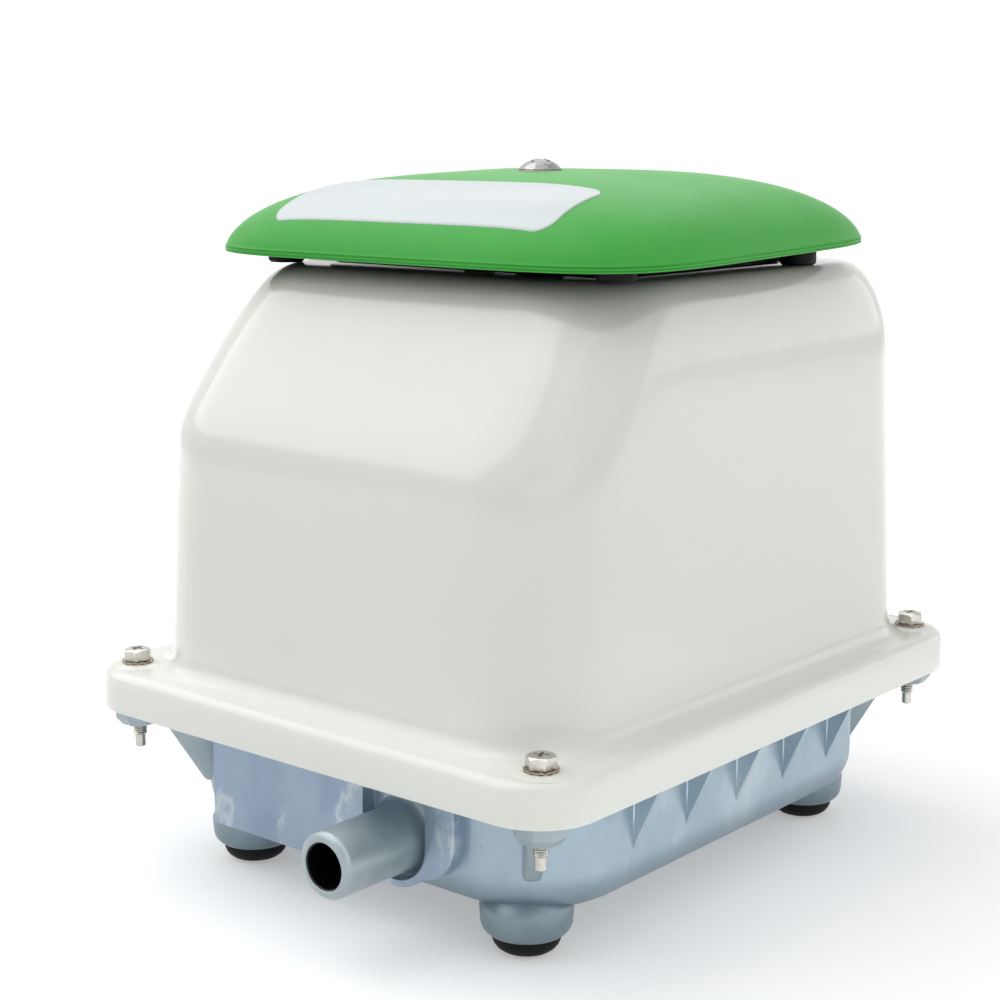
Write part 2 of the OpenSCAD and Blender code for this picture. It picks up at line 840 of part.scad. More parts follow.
// Rubber disc with one raised roll between its clamped centre and rim
module diaphragm() {
    translate([0, -case_out, rod_z]) rotate([90, 0, 0]) rotate_extrude() difference() {
        union() {
            translate([4.1, 0]) square([35 - 4.1, dia_t]);
            translate([22, 0]) circle(3.6);
        }
        translate([22, 0]) circle(1.6);
        translate([22 - 5, -5]) square([10, 5]);
    }
}

module diaphragm_front() {
    color([0.1, 0.1, 0.1]) place() diaphragm();
}

module diaphragm_rear() {
    color([0.1, 0.1, 0.1]) place() at_rear() diaphragm();
}

module tie_points() {
    for (sx = [-1, 1], sz = [-1, 1]) translate([sx * tie_x, 0, rod_z + sz * tie_z]) children();
}

module tie_holes(y0, y1) {
    tie_points() y_rod(0, 0, 5.4, y0, y1);
}

// Front case, between the cores and the diaphragm
module case_shape() {
    difference() {
        block(-case_w / 2, case_w / 2, -case_out, -case_in, plate_z, case_top);
        y_rod(0, rod_z, chamber_d, -case_out - 1, -case_in + 1);
        tie_holes(-60, 0);
        for (sx = [-1, 1]) translate([sx * case_w / 2, 0, case_top]) rotate([0, 45, 0])
            cube([10, 200, 10], center = true);
    }
}

module case_front() {
    color([0.78, 0.79, 0.8]) place() case_shape();
}

module case_rear() {
    color([0.78, 0.79, 0.8]) place() at_rear() case_shape();
}

// ---------- valve boxes ----------

module half_cavity() {
    block(3, 37, -box_out - 1, -seat_out, rod_z - 26, rod_z + 26);
}

module ports(x) {
    for (dz = [-8, 0, 8]) y_rod(x, rod_z + dz - 1, 6, -seat_out - 1, -seat_in + 1);
}

module valve_box() {
    difference() {
        union() {
            block(-case_w / 2, case_w / 2, -box_out, -box_in, case_bottom, case_top);
            translate([nipple_x, -nipple_y, case_bottom - 7.5]) cylinder(h = 7.5, d = nipple_d);
        }
        y_rod(0, rod_z, chamber_d, -seat_in, -box_in + 1);
        half_cavity();
        mirror([1, 0, 0]) half_cavity();
        ports(port_x);
        ports(-port_x);
        tie_holes(-90, 0);
        x_rod(-nipple_y, rod_z, 6.6, -60, -30);
        translate([nipple_x, -nipple_y, 50]) cylinder(h = 40, d = 6.6);
        for (sx = [-1, 1]) translate([sx * case_w / 2, 0, case_top]) rotate([0, 45, 0])
            cube([10, 200, 10], center = true);
        head_screw_points() y_rod(0, 0, 3, -90, -60);
    }
    // posts that the exhaust flap hangs from
    y_rod(port_x - 5, flap_top + 2.2, 3, -seat_out - 1.5, -seat_out + 0.5);
    y_rod(port_x + 5, flap_top + 2.2, 3, -seat_out - 1.5, -seat_out + 0.5);
}

module head_screw_points() {
    for (sx = [-1, 1], z = [rod_z - 18, rod_z + 18]) translate([sx * 39.5, 0, z]) children();
    translate([0, 0, rod_z]) children();
}

module valve_box_front() {
    color([0.8, 0.81, 0.82]) place() valve_box();
}

module valve_box_rear() {
    color([0.8, 0.81, 0.82]) place() at_rear() valve_box();
}

module head_cover() {
    difference() {
        block(-case_w / 2, case_w / 2, -head_out, -box_out, case_bottom, case_top);
        tie_holes(-90, 0);
        head_screw_points() y_rod(0, 0, 3.4, -90, -60);
        for (sx = [-1, 1]) translate([sx * case_w / 2, 0, case_top]) rotate([0, 45, 0])
            cube([10, 200, 10], center = true);
    }
}

module head_cover_front() {
    color([0.7, 0.71, 0.73]) place() head_cover();
}

module head_cover_rear() {
    color([0.7, 0.71, 0.73]) place() at_rear() head_cover();
}

module head_screw_set() {
    head_screw_points() {
        y_rod(0, 0, 3, -head_out, -62);
        y_rod(0, 0, 6, -head_out - 2, -head_out);
    }
}

module head_screws() {
    color(steel) place() {
        head_screw_set();
        at_rear() head_screw_set();
    }
}

module tie_bolts() {
    color(steel) place() tie_points() {
        y_rod(0, 0, 5, -head_out - 3, head_out + 3.5);
        y_hex(0, 0, 8, -head_out - 3.5, -head_out);
        y_hex(0, 0, 8, head_out, head_out + 3.5);
    }
}

// Rubber flap, hung from its top edge; y is the face that lies on the seat
module flap(x, y0) {
    block(x, x + flap_w, y0, y0 + flap_t, flap_top - flap_h, flap_top);
    x_rod(y0 + flap_t / 2, flap_top, flap_t, x, x + flap_w);
}

module intake_flap() {
    flap(-flap_x - flap_w, -seat_in + flap_gap);
}

module exhaust_flap() {
    flap(flap_x, -seat_out - flap_gap - flap_t);
}

module intake_flap_front() {
    color([0.6, 0.3, 0.15]) place() intake_flap();
}

module exhaust_flap_front() {
    color([0.6, 0.3, 0.15]) place() exhaust_flap();
}

module intake_flap_rear() {
    color([0.6, 0.3, 0.15]) place() at_rear() intake_flap();
}

module exhaust_flap_rear() {
    color([0.6, 0.3, 0.15]) place() at_rear() exhaust_flap();
}

// ---------- hoses, switch and wiring ----------

hose_z0 = deck_z + 0.5;
hose_z1 = case_bottom - 0.5;

module hose() {
    translate([nipple_x, -nipple_y, 0]) difference() {
        translate([0, 0, hose_z0]) cylinder(h = hose_z1 - hose_z0, d = 16);
        translate([0, 0, 40]) cylinder(h = 40, d = nipple_d);
    }
}

module hose_front() {
    color(black) place() hose();
}

module hose_rear() {
    color(black) place() at_rear() hose();
}

module hose_clips() {
    color(steel) place() hose_points()
        for (z = [hose_z0 + 1, hose_z1 - 4]) {
            difference() {
                translate([0, 0, z]) cylinder(h = 3, d = 17.2);
                translate([0, 0, z - 1]) cylinder(h = 5, d = 16);
            }
            block(8, 11, -1.5, 1.5, z, z + 3);
        }
}

module safety_switch() {
    color([0.85, 0.84, 0.8]) place() {
        difference() {
            block(-12, 12, 19.6, case_in, 122.5, 138);
            block(-3.6, 3.6, 20.4, 26.3, 120, 133);
        }
        x_rod(lever_y, lever_z, 2, -5, 5);
    }
}

module switch_lever() {
    color([0.75, 0.15, 0.12]) place() difference() {
        union() {
            block(-3, 3, lever_y - 1.25, lever_y + 1.25, rod_z + 15, lever_z);
            x_rod(lever_y, lever_z, 4.6, -3, 3);
        }
        x_rod(lever_y, lever_z, 2.1, -4, 4);
    }
}

terminal_x = -46;
terminal_y = 62;

module terminal_block() {
    color([0.9, 0.9, 0.86]) place() translate([terminal_x, terminal_y, deck_z]) {
        difference() {
            union() {
                block(-7, 7, -13, 13, 0, 5);
                block(-4.5, 4.5, -13, 13, 0, 12);
            }
            for (i = [-1, 0, 1]) translate([0, i * 8.5, 6]) cylinder(h = 10, d = 4);
            for (i = [-1, 0, 1]) x_rod(i * 8.5, 9, 3, -10, 10);
        }
        for (i = [-1, 0, 1]) translate([0, i * 8.5, 6]) cylinder(h = 4.5, d = 4);
    }
}

// Insulated wire through the listed points, eight-sided
function turn(a, b) = let (d = b - a) d / norm(d);
function ring_at(p, d, r) =
    let (side = norm(cross(d, [0, 0, 1])) < 0.05 ? [1, 0, 0] : cross(d, [0, 0, 1]) / norm(cross(d, [0, 0, 1])),
        up = cross(side, d))
    [for (k = [0 : 7]) p + r * (side * cos(45 * k) + up * sin(45 * k))];

module wire(pts, r) {
    n = len(pts);
    dirs = [for (i = [0 : n - 1]) turn(pts[max(i - 1, 0)], pts[min(i + 1, n - 1)])];
    rings = [for (i = [0 : n - 1]) each ring_at(pts[i], dirs[i], r)];
    sides = [for (i = [0 : n - 2], k = [0 : 7])
        [8 * i + k, 8 * i + (k + 1) % 8, 8 * i + 8 + (k + 1) % 8, 8 * i + 8 + k]];
    ends = [[for (k = [7 : -1 : 0]) k], [for (k = [0 : 7]) 8 * (n - 1) + k]];
    polyhedron(points = rings, faces = concat(sides, ends), convexity = 4);
}

LEAD_A = [[-48.3, 70.5, 62.5], [-51.5, 70.5, 62.5], [-54, 68, 64], [-54, 55, 70],
    [-52, 40, 78], [-48, 25, 84], [-45, 15, 85.6], [-41, 12, 85.8], [-33.7, 12, 85.8]];
LEAD_B = [[-48.3, 53.5, 62.5], [-51, 53.5, 62.5], [-53, 48, 62], [-50, 38, 61], [-47, 20, 60.5],
    [-47, 0, 60.5], [-47, -34, 60.5], [-44, -46, 60.5], [-30, -49, 60.5], [0, -50, 60.5],
    [34, -49, 60.5], [44, -46, 60.5], [47.5, -34, 60.8], [47, -10, 66], [45.5, 6, 77],
    [43.5, 11, 83.5], [40, 12, 85.8], [33.7, 12, 85.8]];

module coil_leads() {
    color([0.15, 0.25, 0.6]) place() {
        wire(LEAD_A, 1.2);
        wire(LEAD_B, 1.2);
    }
}

tank_base();
tank_legs();
tank_flange();
tank_brackets();
outlet_stub();
rubber_feet();
tank_gasket();
tank_lid();
tank_lid_screws();
housing();
housing_gasket();
housing_bolts();
tooth_washers();
cord_gland();
filter_element();
filter_cover();
cover_pads();
label_plate();
screw_washer();
cover_screw();
pump_frame();
rubber_mounts();
mount_studs();
core_left();
core_right();
bobbin_left();
bobbin_right();
coil_left();
coil_right();
core_spacers();
core_bolts();
magnet_rod();
rod_magnets();
clamp_discs();
rod_nuts();
diaphragm_front();
diaphragm_rear();
case_front();
case_rear();
valve_box_front();
valve_box_rear();
head_cover_front();
head_cover_rear();
head_screws();
tie_bolts();
intake_flap_front();
exhaust_flap_front();
intake_flap_rear();
exhaust_flap_rear();
hose_front();
hose_rear();
hose_clips();
safety_switch();
switch_lever();
terminal_block();
coil_leads();
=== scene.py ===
import json
import math

import bpy
import numpy as np
from mathutils import Euler, Matrix, Vector


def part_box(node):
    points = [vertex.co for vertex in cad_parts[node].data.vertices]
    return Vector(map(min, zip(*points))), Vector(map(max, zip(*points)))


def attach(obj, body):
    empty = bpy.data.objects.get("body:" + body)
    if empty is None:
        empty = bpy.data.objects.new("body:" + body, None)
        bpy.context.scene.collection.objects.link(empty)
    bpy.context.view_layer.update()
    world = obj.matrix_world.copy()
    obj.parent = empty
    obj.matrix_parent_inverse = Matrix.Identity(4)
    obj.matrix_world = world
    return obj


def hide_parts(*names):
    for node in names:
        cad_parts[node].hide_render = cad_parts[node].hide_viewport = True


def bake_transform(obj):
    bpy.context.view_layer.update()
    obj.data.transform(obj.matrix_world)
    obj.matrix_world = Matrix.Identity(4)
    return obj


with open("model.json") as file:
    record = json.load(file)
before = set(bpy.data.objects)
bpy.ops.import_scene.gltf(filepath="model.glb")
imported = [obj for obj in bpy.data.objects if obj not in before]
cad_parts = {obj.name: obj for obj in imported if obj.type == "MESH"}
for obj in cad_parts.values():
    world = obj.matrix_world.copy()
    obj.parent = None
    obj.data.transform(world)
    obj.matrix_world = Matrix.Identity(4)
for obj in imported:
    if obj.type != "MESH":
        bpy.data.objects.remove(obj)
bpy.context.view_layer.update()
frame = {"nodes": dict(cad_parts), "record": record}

# Lengths below are in millimetres, in the pump's own frame: the four flange bolts are
# centred on x = y = 0, -Y is the outlet side and the floor is z = 0.
MM = 0.001


def node_box(name):
    """Lowest and highest corner of a CAD node in millimetres."""
    lo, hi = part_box(name)
    return np.array(lo) / MM, np.array(hi) / MM


housing_lo, housing_hi = node_box("housing")
# Where the pump's own frame has its y = 0 in the CAD frame
CENTRE_Y = (housing_lo[1] + housing_hi[1]) / 2

# Housing: flange, ledge over it, drafted walls, sloping front, and tray with its pillar
FLANGE_X = housing_hi[0]
FLANGE_Y = housing_hi[1] - CENTRE_Y
FLANGE_R = 17.5
FLANGE_BOTTOM = housing_lo[2]
FLANGE_LIP = 0.8
LEDGE_Z = 59.5
LEDGE_ROUND = 3.0
SKIRT_T = 3.0
FOOT_R = 5.5
BODY_X = 76.5
BODY_FRONT = 92.0
BODY_BACK = 96.0
BODY_R = 28.0
DRAFT = math.tan(math.radians(1.75))
TOP_Z = 173.5
SLOPE_Z = 129.0
SLOPE_Y = 56.0
SLOPE_BEND = 2.2
FRONT_ROUND = 5.0
ROUND_W = 10.0
ROUND_H = 28.0
SHELL = 2.5
TRAY = (-52.0, 52.0, -34.0, 50.0)
TRAY_R = 8.0
TRAY_FLOOR = 159.5
TRAY_EDGE = 1.5
TRAY_FILLET = 3.0
PILLAR_TOP = housing_hi[2]
PILLAR_R = 7.0
PILLAR_FILLET = 2.5
PILLAR_BORE_R = 2.6

# Filter cover: a dome over a superellipse, a little higher at the back
COVER_X = 80.75
COVER_Y = 65.7
RIM_Z = 178.6
CROWN = 21.4
TILT = math.radians(1.7)
PLAN_POWER = 5.26
COVER_WALL = 2.5
SEAT_TOP = 199.6
PAD_X = 60.0
PAD_Y = 43.5

# Flange bolts
BOLT_X = 75.0
BOLT_Y = 91.5
BOLT_R = 2.0
BOLT_BOTTOM = node_box("housing_bolts")[0][2]
SEAT_RISE = 0.6
WASHER_T = 0.8
HEAD_BOTTOM = LEDGE_Z + SEAT_RISE + WASHER_T
HEAD_H = 3.3
HEAD_FLATS = 7.0

# Tank: casting, plate under the flange, legs, bosses, webs, ribs, raised pad and outlet
TANK_X = 72.2
TANK_Y = 84.0
TANK_R = 30.0
TANK_BOTTOM = 12.8
TANK_TOP = 53.0
TANK_EDGE = 11.0
PLATE_X = 83.5
PLATE_Y = 99.75
PLATE_R = 14.0
PLATE_BOTTOM = 48.5
LEG_X = 51.8
LEG_Y = 68.4
LEG_R = 12.3
LEG_BOTTOM = 4.8
LEG_ROUND = 4.2
BOSS_BOTTOM = 42.0
BOSS_FLATS = 13.0
WEB_T = 5.0
UNDER_FLANGE = 50.0
RIB_T = 1.8
RIB_PITCH = 24.3
PAD_PROUD = 4.5
POCKET_R = 11.0
POCKET_RIM = 13.0
PIPE_X = 23.0
PIPE_Z = 29.0
PIPE_R = 9.0
BORE_R = 6.0
PIPE_END = CENTRE_Y - node_box("outlet_stub")[0][1]

# Diaphragms: radius of the part that moves with the rod, and where the still rim begins
DISC_R = 17.5
CASE_R = 27.5

CORNERS = [(sx, sy) for sx in (-1, 1) for sy in (-1, 1)]


# ---------- meshes ----------


def plan(x0, x1, y0, y1, r, z, seg=14, side=10):
    """A rounded rectangle as a ring of points at height z, anticlockwise from above."""
    centres = [(x1 - r, y1 - r), (x0 + r, y1 - r), (x0 + r, y0 + r), (x1 - r, y0 + r)]
    corners = []
    for c, (cx, cy) in enumerate(centres):
        turns = [math.radians(90 * (c + k / seg)) for k in range(seg + 1)]
        corners.append([(cx + r * math.cos(a), cy + r * math.sin(a)) for a in turns])
    ring = []
    for c, arc in enumerate(corners):
        ring += arc
        (ax, ay), (bx, by) = arc[-1], corners[(c + 1) % 4][0]
        ring += [
            (ax + (bx - ax) * k / side, ay + (by - ay) * k / side)
            for k in range(1, side)
        ]
    return [(x, y, z) for x, y in ring]


def centred(half_x, half_y, r, z, **more):
    return plan(-half_x, half_x, -half_y, half_y, r, z, **more)


def circle(r, z, turns):
    """A circle about the Z axis as a ring of points at the given angles."""
    return [(r * math.cos(a), r * math.sin(a), z) for a in turns]


def quarter(n, start=0.0, end=90.0):
    """Angles in radians from start to end, given in degrees, in n steps."""
    return [math.radians(start + (end - start) * k / n) for k in range(n + 1)]


def rounding(r, n):
    """Quarter circle of radius r as (inset, rise) pairs, from (r, 0) to (0, r)."""
    return [(r * (1 - math.sin(a)), r * (1 - math.cos(a))) for a in quarter(n)]


def loft(rings, pole=False):
    """Closed surface through rings of equal length. With pole, the last ring closes on a point."""
    n = len(rings[0])
    verts = [p for ring in rings for p in ring]
    faces = []
    for i in range(len(rings) - 1):
        a, b = i * n, (i + 1) * n
        faces += [(a + k, a + (k + 1) % n, b + (k + 1) % n, b + k) for k in range(n)]
    faces.append(tuple(range(n - 1, -1, -1)))
    last = (len(rings) - 1) * n
    if pole:
        verts.append(tuple(np.mean(rings[-1], axis=0)))
        tip = len(verts) - 1
        faces += [(last + k, last + (k + 1) % n, tip) for k in range(n)]
    else:
        faces.append(tuple(range(last, last + n)))
    return verts, faces


def tube(rings):
    """Closed surface through rings that runs back to the first one."""
    n, m = len(rings[0]), len(rings)
    faces = []
    for i in range(m):
        a, b = i * n, ((i + 1) % m) * n
        faces += [(a + k, a + (k + 1) % n, b + (k + 1) % n, b + k) for k in range(n)]
    return [p for ring in rings for p in ring], faces


def lathe(profile, n=64):
    """Solid of revolution about Z from (radius, height) pairs, lowest outer point first."""
    turns = [2 * math.pi * k / n for k in range(n)]
    return loft([circle(r, z, turns) for r, z in profile])


def box(x0, x1, y0, y1, z0, z1):
    lower = [(x0, y0, z0), (x1, y0, z0), (x1, y1, z0), (x0, y1, z0)]
    return loft([lower, [(x, y, z1) for x, y, z in lower]])


def prism(outline, y0, y1):
    """Outline of (x, z) pairs, anticlockwise seen from the front, pushed from y1 to y0."""
    return loft([[(x, y1, z) for x, z in outline], [(x, y0, z) for x, z in outline]])


def moved(shape, offset=(0, 0, 0), turn=(0, 0, 0)):
    """The shape turned by degrees about the axes, and then set off."""
    verts, faces = shape
    matrix = Matrix.LocRotScale(Vector(offset), Euler([math.radians(a) for a in turn]), None)
    return [tuple(matrix @ Vector(v)) for v in verts], faces


def joined(shapes):
    verts, faces = [], []
    for v, f in shapes:
        faces += [tuple(i + len(verts) for i in face) for face in f]
        verts += v
    return verts, faces


def four(shape, x, y):
    """The shape at the four points (+-x, +-y)."""
    return joined([moved(shape, (sx * x, sy * y, 0)) for sx, sy in CORNERS])


def new_object(name, shape):
    verts, faces = shape
    mesh = bpy.data.meshes.new(name)
    mesh.from_pydata([(x * MM, (y + CENTRE_Y) * MM, z * MM) for x, y, z in verts], [], faces)
    mesh.validate()
    mesh.update()
    obj = bpy.data.objects.new(name, mesh)
    bpy.context.scene.collection.objects.link(obj)
    return obj


def baked(obj):
    """Replaces the object's mesh by its mesh after the modifiers, and drops them."""
    depsgraph = bpy.context.evaluated_depsgraph_get()
    mesh = bpy.data.meshes.new_from_object(obj.evaluated_get(depsgraph))
    obj.modifiers.clear()
    obj.data = mesh
    return obj


def cut(obj, tool_shape, operation="DIFFERENCE"):
    tool = new_object(obj.name + "_tool", tool_shape)
    mod = obj.modifiers.new("cut", "BOOLEAN")
    mod.operation = operation
    mod.solver = "EXACT"
    mod.object = tool
    baked(obj)
    bpy.data.objects.remove(tool)


def taken(obj):
    """The object's mesh as a shape in the pump's own frame. The object is removed."""
    mesh = obj.data
    verts = [(v.co.x / MM, v.co.y / MM - CENTRE_Y, v.co.z / MM) for v in mesh.vertices]
    faces = [tuple(p.vertices) for p in mesh.polygons]
    bpy.data.objects.remove(obj)
    return verts, faces


def cut_cross(obj, reach, half_width, floor):
    """Cuts a cross for a screwdriver down to a floor height."""
    ceiling = floor + 3.8
    cut(obj, box(-reach, reach, -half_width, half_width, floor, ceiling))
    cut(obj, box(-half_width, half_width, -reach, reach, floor, ceiling))


def bevelled(obj, width):
    mod = obj.modifiers.new("edge", "BEVEL")
    mod.width = width * MM
    mod.segments = 3
    mod.limit_method = "ANGLE"
    mod.angle_limit = math.radians(30)
    return baked(obj)


def remeshed(obj, voxel, smoothing):
    """One skin round overlapping solids, with the soft inner corners of a casting."""
    mod = obj.modifiers.new("skin", "REMESH")
    mod.mode = "VOXEL"
    mod.voxel_size = voxel * MM
    mod = obj.modifiers.new("soft", "SMOOTH")
    mod.factor = 0.5
    mod.iterations = smoothing
    return baked(obj)


def finish_piece(obj, body, slot, stands_for=(), angle=35.0, bevel=0.0, look=None):
    """Smooth shading, material and body of one visible piece; the material is the slot's, or the
    look's if one is given.
    """
    if bevel:
        bevelled(obj, bevel)
    mesh = obj.data
    mesh.polygons.foreach_set("use_smooth", [True] * len(mesh.polygons))
    mesh.set_sharp_from_angle(angle=math.radians(angle))
    mesh.materials.clear()
    mesh.materials.append(MATERIALS[look or slot])
    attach(obj, body)
    if stands_for:
        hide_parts(*stands_for)


def piece(name, shape, body, slot, stands_for=(), **finish):
    finish_piece(new_object(name, shape), body, slot, stands_for, **finish)


# ---------- materials ----------

MATERIALS = {}


def srgb(r, g, b):
    """Linear colour from 8-bit display values."""
    return tuple(
        c / 12.92 if c <= 0.04045 else ((c + 0.055) / 1.055) ** 2.4
        for c in (r / 255, g / 255, b / 255)
    ) + (1.0,)


def calc(tree, kind, operation, *values):
    """Math or VectorMath node whose inputs are other nodes' outputs or constants."""
    made = tree.nodes.new("ShaderNode" + kind)
    made.operation = operation
    for socket, value in zip(made.inputs, values):
        if isinstance(value, bpy.types.NodeSocket):
            tree.links.new(value, socket)
        else:
            socket.default_value = value
    return made


class Look:
    """A material under construction: its node tree and its Principled shader."""

    def __init__(self, slot, **sockets):
        self.material = bpy.data.materials.new(slot)
        self.material.use_nodes = True
        self.tree = self.material.node_tree
        self.shader = self.tree.nodes["Principled BSDF"]
        for name, value in sockets.items():
            self.shader.inputs[name.replace("_", " ")].default_value = value
        MATERIALS[slot] = self.material

    def node(self, kind, **sockets):
        made = self.tree.nodes.new(kind)
        for name, value in sockets.items():
            made.inputs[name.replace("_", " ")].default_value = value
        return made

    def link(self, a, b):
        self.tree.links.new(a, b)

    def place(self):
        return self.tree.nodes.new("ShaderNodeTexCoord").outputs["Object"]

    def noise(self, scale, detail, roughness=0.55, stretch=None):
        made = self.node("ShaderNodeTexNoise", Scale=scale, Detail=detail, Roughness=roughness)
        source = self.place()
        if stretch:
            mapping = self.node("ShaderNodeMapping", Scale=stretch)
            self.link(source, mapping.inputs["Vector"])
            source = mapping.outputs["Vector"]
        self.link(source, made.inputs["Vector"])
        return made.outputs["Fac"]

    def above(self, z0, z1):
        """0 below z0, 1 above z1, in millimetres over the floor."""
        parts = self.tree.nodes.new("ShaderNodeSeparateXYZ")
        self.link(self.place(), parts.inputs[0])
        made = self.node("ShaderNodeMapRange", From_Min=z0 * MM, From_Max=z1 * MM)
        self.link(parts.outputs["Z"], made.inputs["Value"])
        return made.outputs["Result"]

    def aslant(self, part_y, limit):
        """1 on faces whose normal's part along Y is within a limit of the given one."""
        geometry = self.tree.nodes.new("ShaderNodeNewGeometry")
        parts = self.tree.nodes.new("ShaderNodeSeparateXYZ")
        self.link(geometry.outputs["True Normal"], parts.inputs[0])
        size = calc(self.tree, "Math", "ABSOLUTE", parts.outputs["Y"])
        return calc(self.tree, "Math", "COMPARE", size.outputs[0], part_y, limit).outputs[0]

    def near_pipe_axis(self, radius):
        """1 inside a radius round the outlet pipe's axis, in millimetres."""
        axis = (PIPE_X * MM, 0, PIPE_Z * MM)
        flat = calc(self.tree, "VectorMath", "MULTIPLY", self.place(), (1, 0, 1))
        away = calc(self.tree, "VectorMath", "DISTANCE", flat.outputs["Vector"], axis)
        inside = calc(self.tree, "Math", "LESS_THAN", away.outputs["Value"], radius * MM)
        return inside.outputs[0]

    def ramp(self, value, stops, smooth=True):
        made = self.tree.nodes.new("ShaderNodeValToRGB")
        ramp = made.color_ramp
        ramp.interpolation = "EASE" if smooth else "LINEAR"
        while len(ramp.elements) < len(stops):
            ramp.elements.new(0.5)
        for element, (at, colour) in zip(ramp.elements, stops):
            element.position = at
            element.color = colour
        self.link(value, made.inputs["Fac"])
        return made.outputs["Color"]

    def bump(self, value, strength, distance):
        made = self.node("ShaderNodeBump", Strength=strength, Distance=distance * MM)
        self.link(value, made.inputs["Height"])
        previous = self.shader.inputs["Normal"]
        if previous.links:
            self.link(previous.links[0].from_socket, made.inputs["Normal"])
        self.link(made.outputs["Normal"], previous)

    def colour(self, value):
        self.link(value, self.shader.inputs["Base Color"])

    def roughness(self, value):
        self.link(value, self.shader.inputs["Roughness"])

    def mix(self, factor, a, b):
        """Colour a where the factor is 0, and b where it is 1."""
        made = self.tree.nodes.new("ShaderNodeMix")
        made.data_type = "RGBA"
        self.link(factor, made.inputs["Factor"])
        for socket, value in ((made.inputs[6], a), (made.inputs[7], b)):
            if isinstance(value, tuple):
                socket.default_value = value
            else:
                self.link(value, socket)
        return made.outputs[2]


def grey(value):
    return (value, value, value, 1.0)


def enamel():
    look = Look(
        "white_paint", Roughness=0.14, Coat_Weight=0.2, Coat_Roughness=0.05, IOR=1.45
    )
    tint = look.noise(9, detail=2)
    wall = look.ramp(tint, [(0.3, srgb(238, 241, 232)), (0.7, srgb(242, 243, 236))])
    # Up to 58 mm, fading out by 64 mm, the skirt and the ledge get a lighter white: painted light,
    # the bounce of the bright floor close under them.
    look.colour(look.mix(look.above(58.0, 64.0), srgb(249, 251, 244), wall))
    look.bump(look.noise(260, detail=2), 0.06, 0.05)
    look.bump(look.noise(22, detail=1), 0.05, 0.6)


def cover_plastic():
    look = Look("green_plastic", Roughness=0.38, IOR=1.5, Specular_IOR_Level=0.16)
    tint = look.noise(25, detail=3)
    look.colour(look.ramp(tint, [(0.3, srgb(70, 175, 71)), (0.7, srgb(76, 181, 77))]))
    look.bump(look.noise(1400, detail=2), 0.12, 0.04)


def casting_paint(
    name, tones, dark, rough=(0.46, 0.34), metallic=0.5, bore=False, strokes=None, low=None, edge=None
):
    """Silver-blue paint on rough cast metal, in patches of the given tones.

    strokes are pale brush marks, low is painted shade, a darker tone towards the tank's underside,
    and edge is a painted highlight on aslant faces. With bore, the outlet's inside is dark, painted
    shade.
    """
    look = Look(name, Metallic=metallic, IOR=1.5)
    patches = look.noise(26, detail=5, roughness=0.6, stretch=(1, 1, 0.7))
    base = look.ramp(patches, list(zip((0.32, 0.52, 0.72), tones)))
    specks = look.ramp(look.noise(420, detail=1), [(0.165, grey(1)), (0.19, grey(0))], smooth=False)
    colour = look.mix(specks, base, dark)
    # Painted shade: the low tone darkens the paint towards the tank's underside.
    if low:
        colour = look.mix(look.above(TANK_BOTTOM, 24.0), low, colour)
    if strokes:
        streaks = look.noise(34, detail=6, roughness=0.62, stretch=(1.6, 1, 0.8))
        stops = [(0.54, grey(0)), (0.6, grey(0.75)), (0.66, grey(0.1))]
        pale = look.ramp(streaks, stops, smooth=False)
        colour = look.mix(pale, colour, strokes)
    # edge is a painted highlight on faces whose normal leans about 38 degrees from Y: the ribs'
    # fillet strips.
    if edge:
        colour = look.mix(look.aslant(0.79, 0.12), colour, edge)
    # Painted shade: the outlet's inside is painted nearly black, the shade deep in the bore.
    if bore:
        colour = look.mix(look.near_pipe_axis(BORE_R + 0.35), colour, srgb(9, 10, 16))
    look.colour(colour)
    look.roughness(look.ramp(patches, [(0.3, grey(rough[0])), (0.7, grey(rough[1]))]))
    look.bump(look.noise(500, detail=3), 0.18, 0.08)
    look.bump(look.noise(60, detail=3), 0.22, 0.5)


def metal(slot, colour, roughness, scale=300, depth=0.03):
    look = Look(slot, Metallic=1.0)
    grain = look.noise(scale, detail=3)
    darker = tuple(c * 0.82 for c in colour[:3]) + (1.0,)
    look.colour(look.ramp(grain, [(0.3, darker), (0.7, colour)]))
    look.roughness(
        look.ramp(grain, [(0.3, grey(roughness * 1.25)), (0.7, grey(roughness * 0.8))])
    )
    look.bump(grain, 0.15, depth)


def plain(slot, colour, roughness, scale=400, depth=0.03, **sockets):
    look = Look(slot, **sockets)
    grain = look.noise(scale, detail=3)
    lighter = tuple(min(1.0, c * 1.18 + 0.003) for c in colour[:3]) + (1.0,)
    look.colour(look.ramp(grain, [(0.35, colour), (0.65, lighter)]))
    look.roughness(
        look.ramp(grain, [(0.3, grey(roughness * 0.9)), (0.7, grey(roughness * 1.1))])
    )
    look.bump(grain, 0.2, depth)


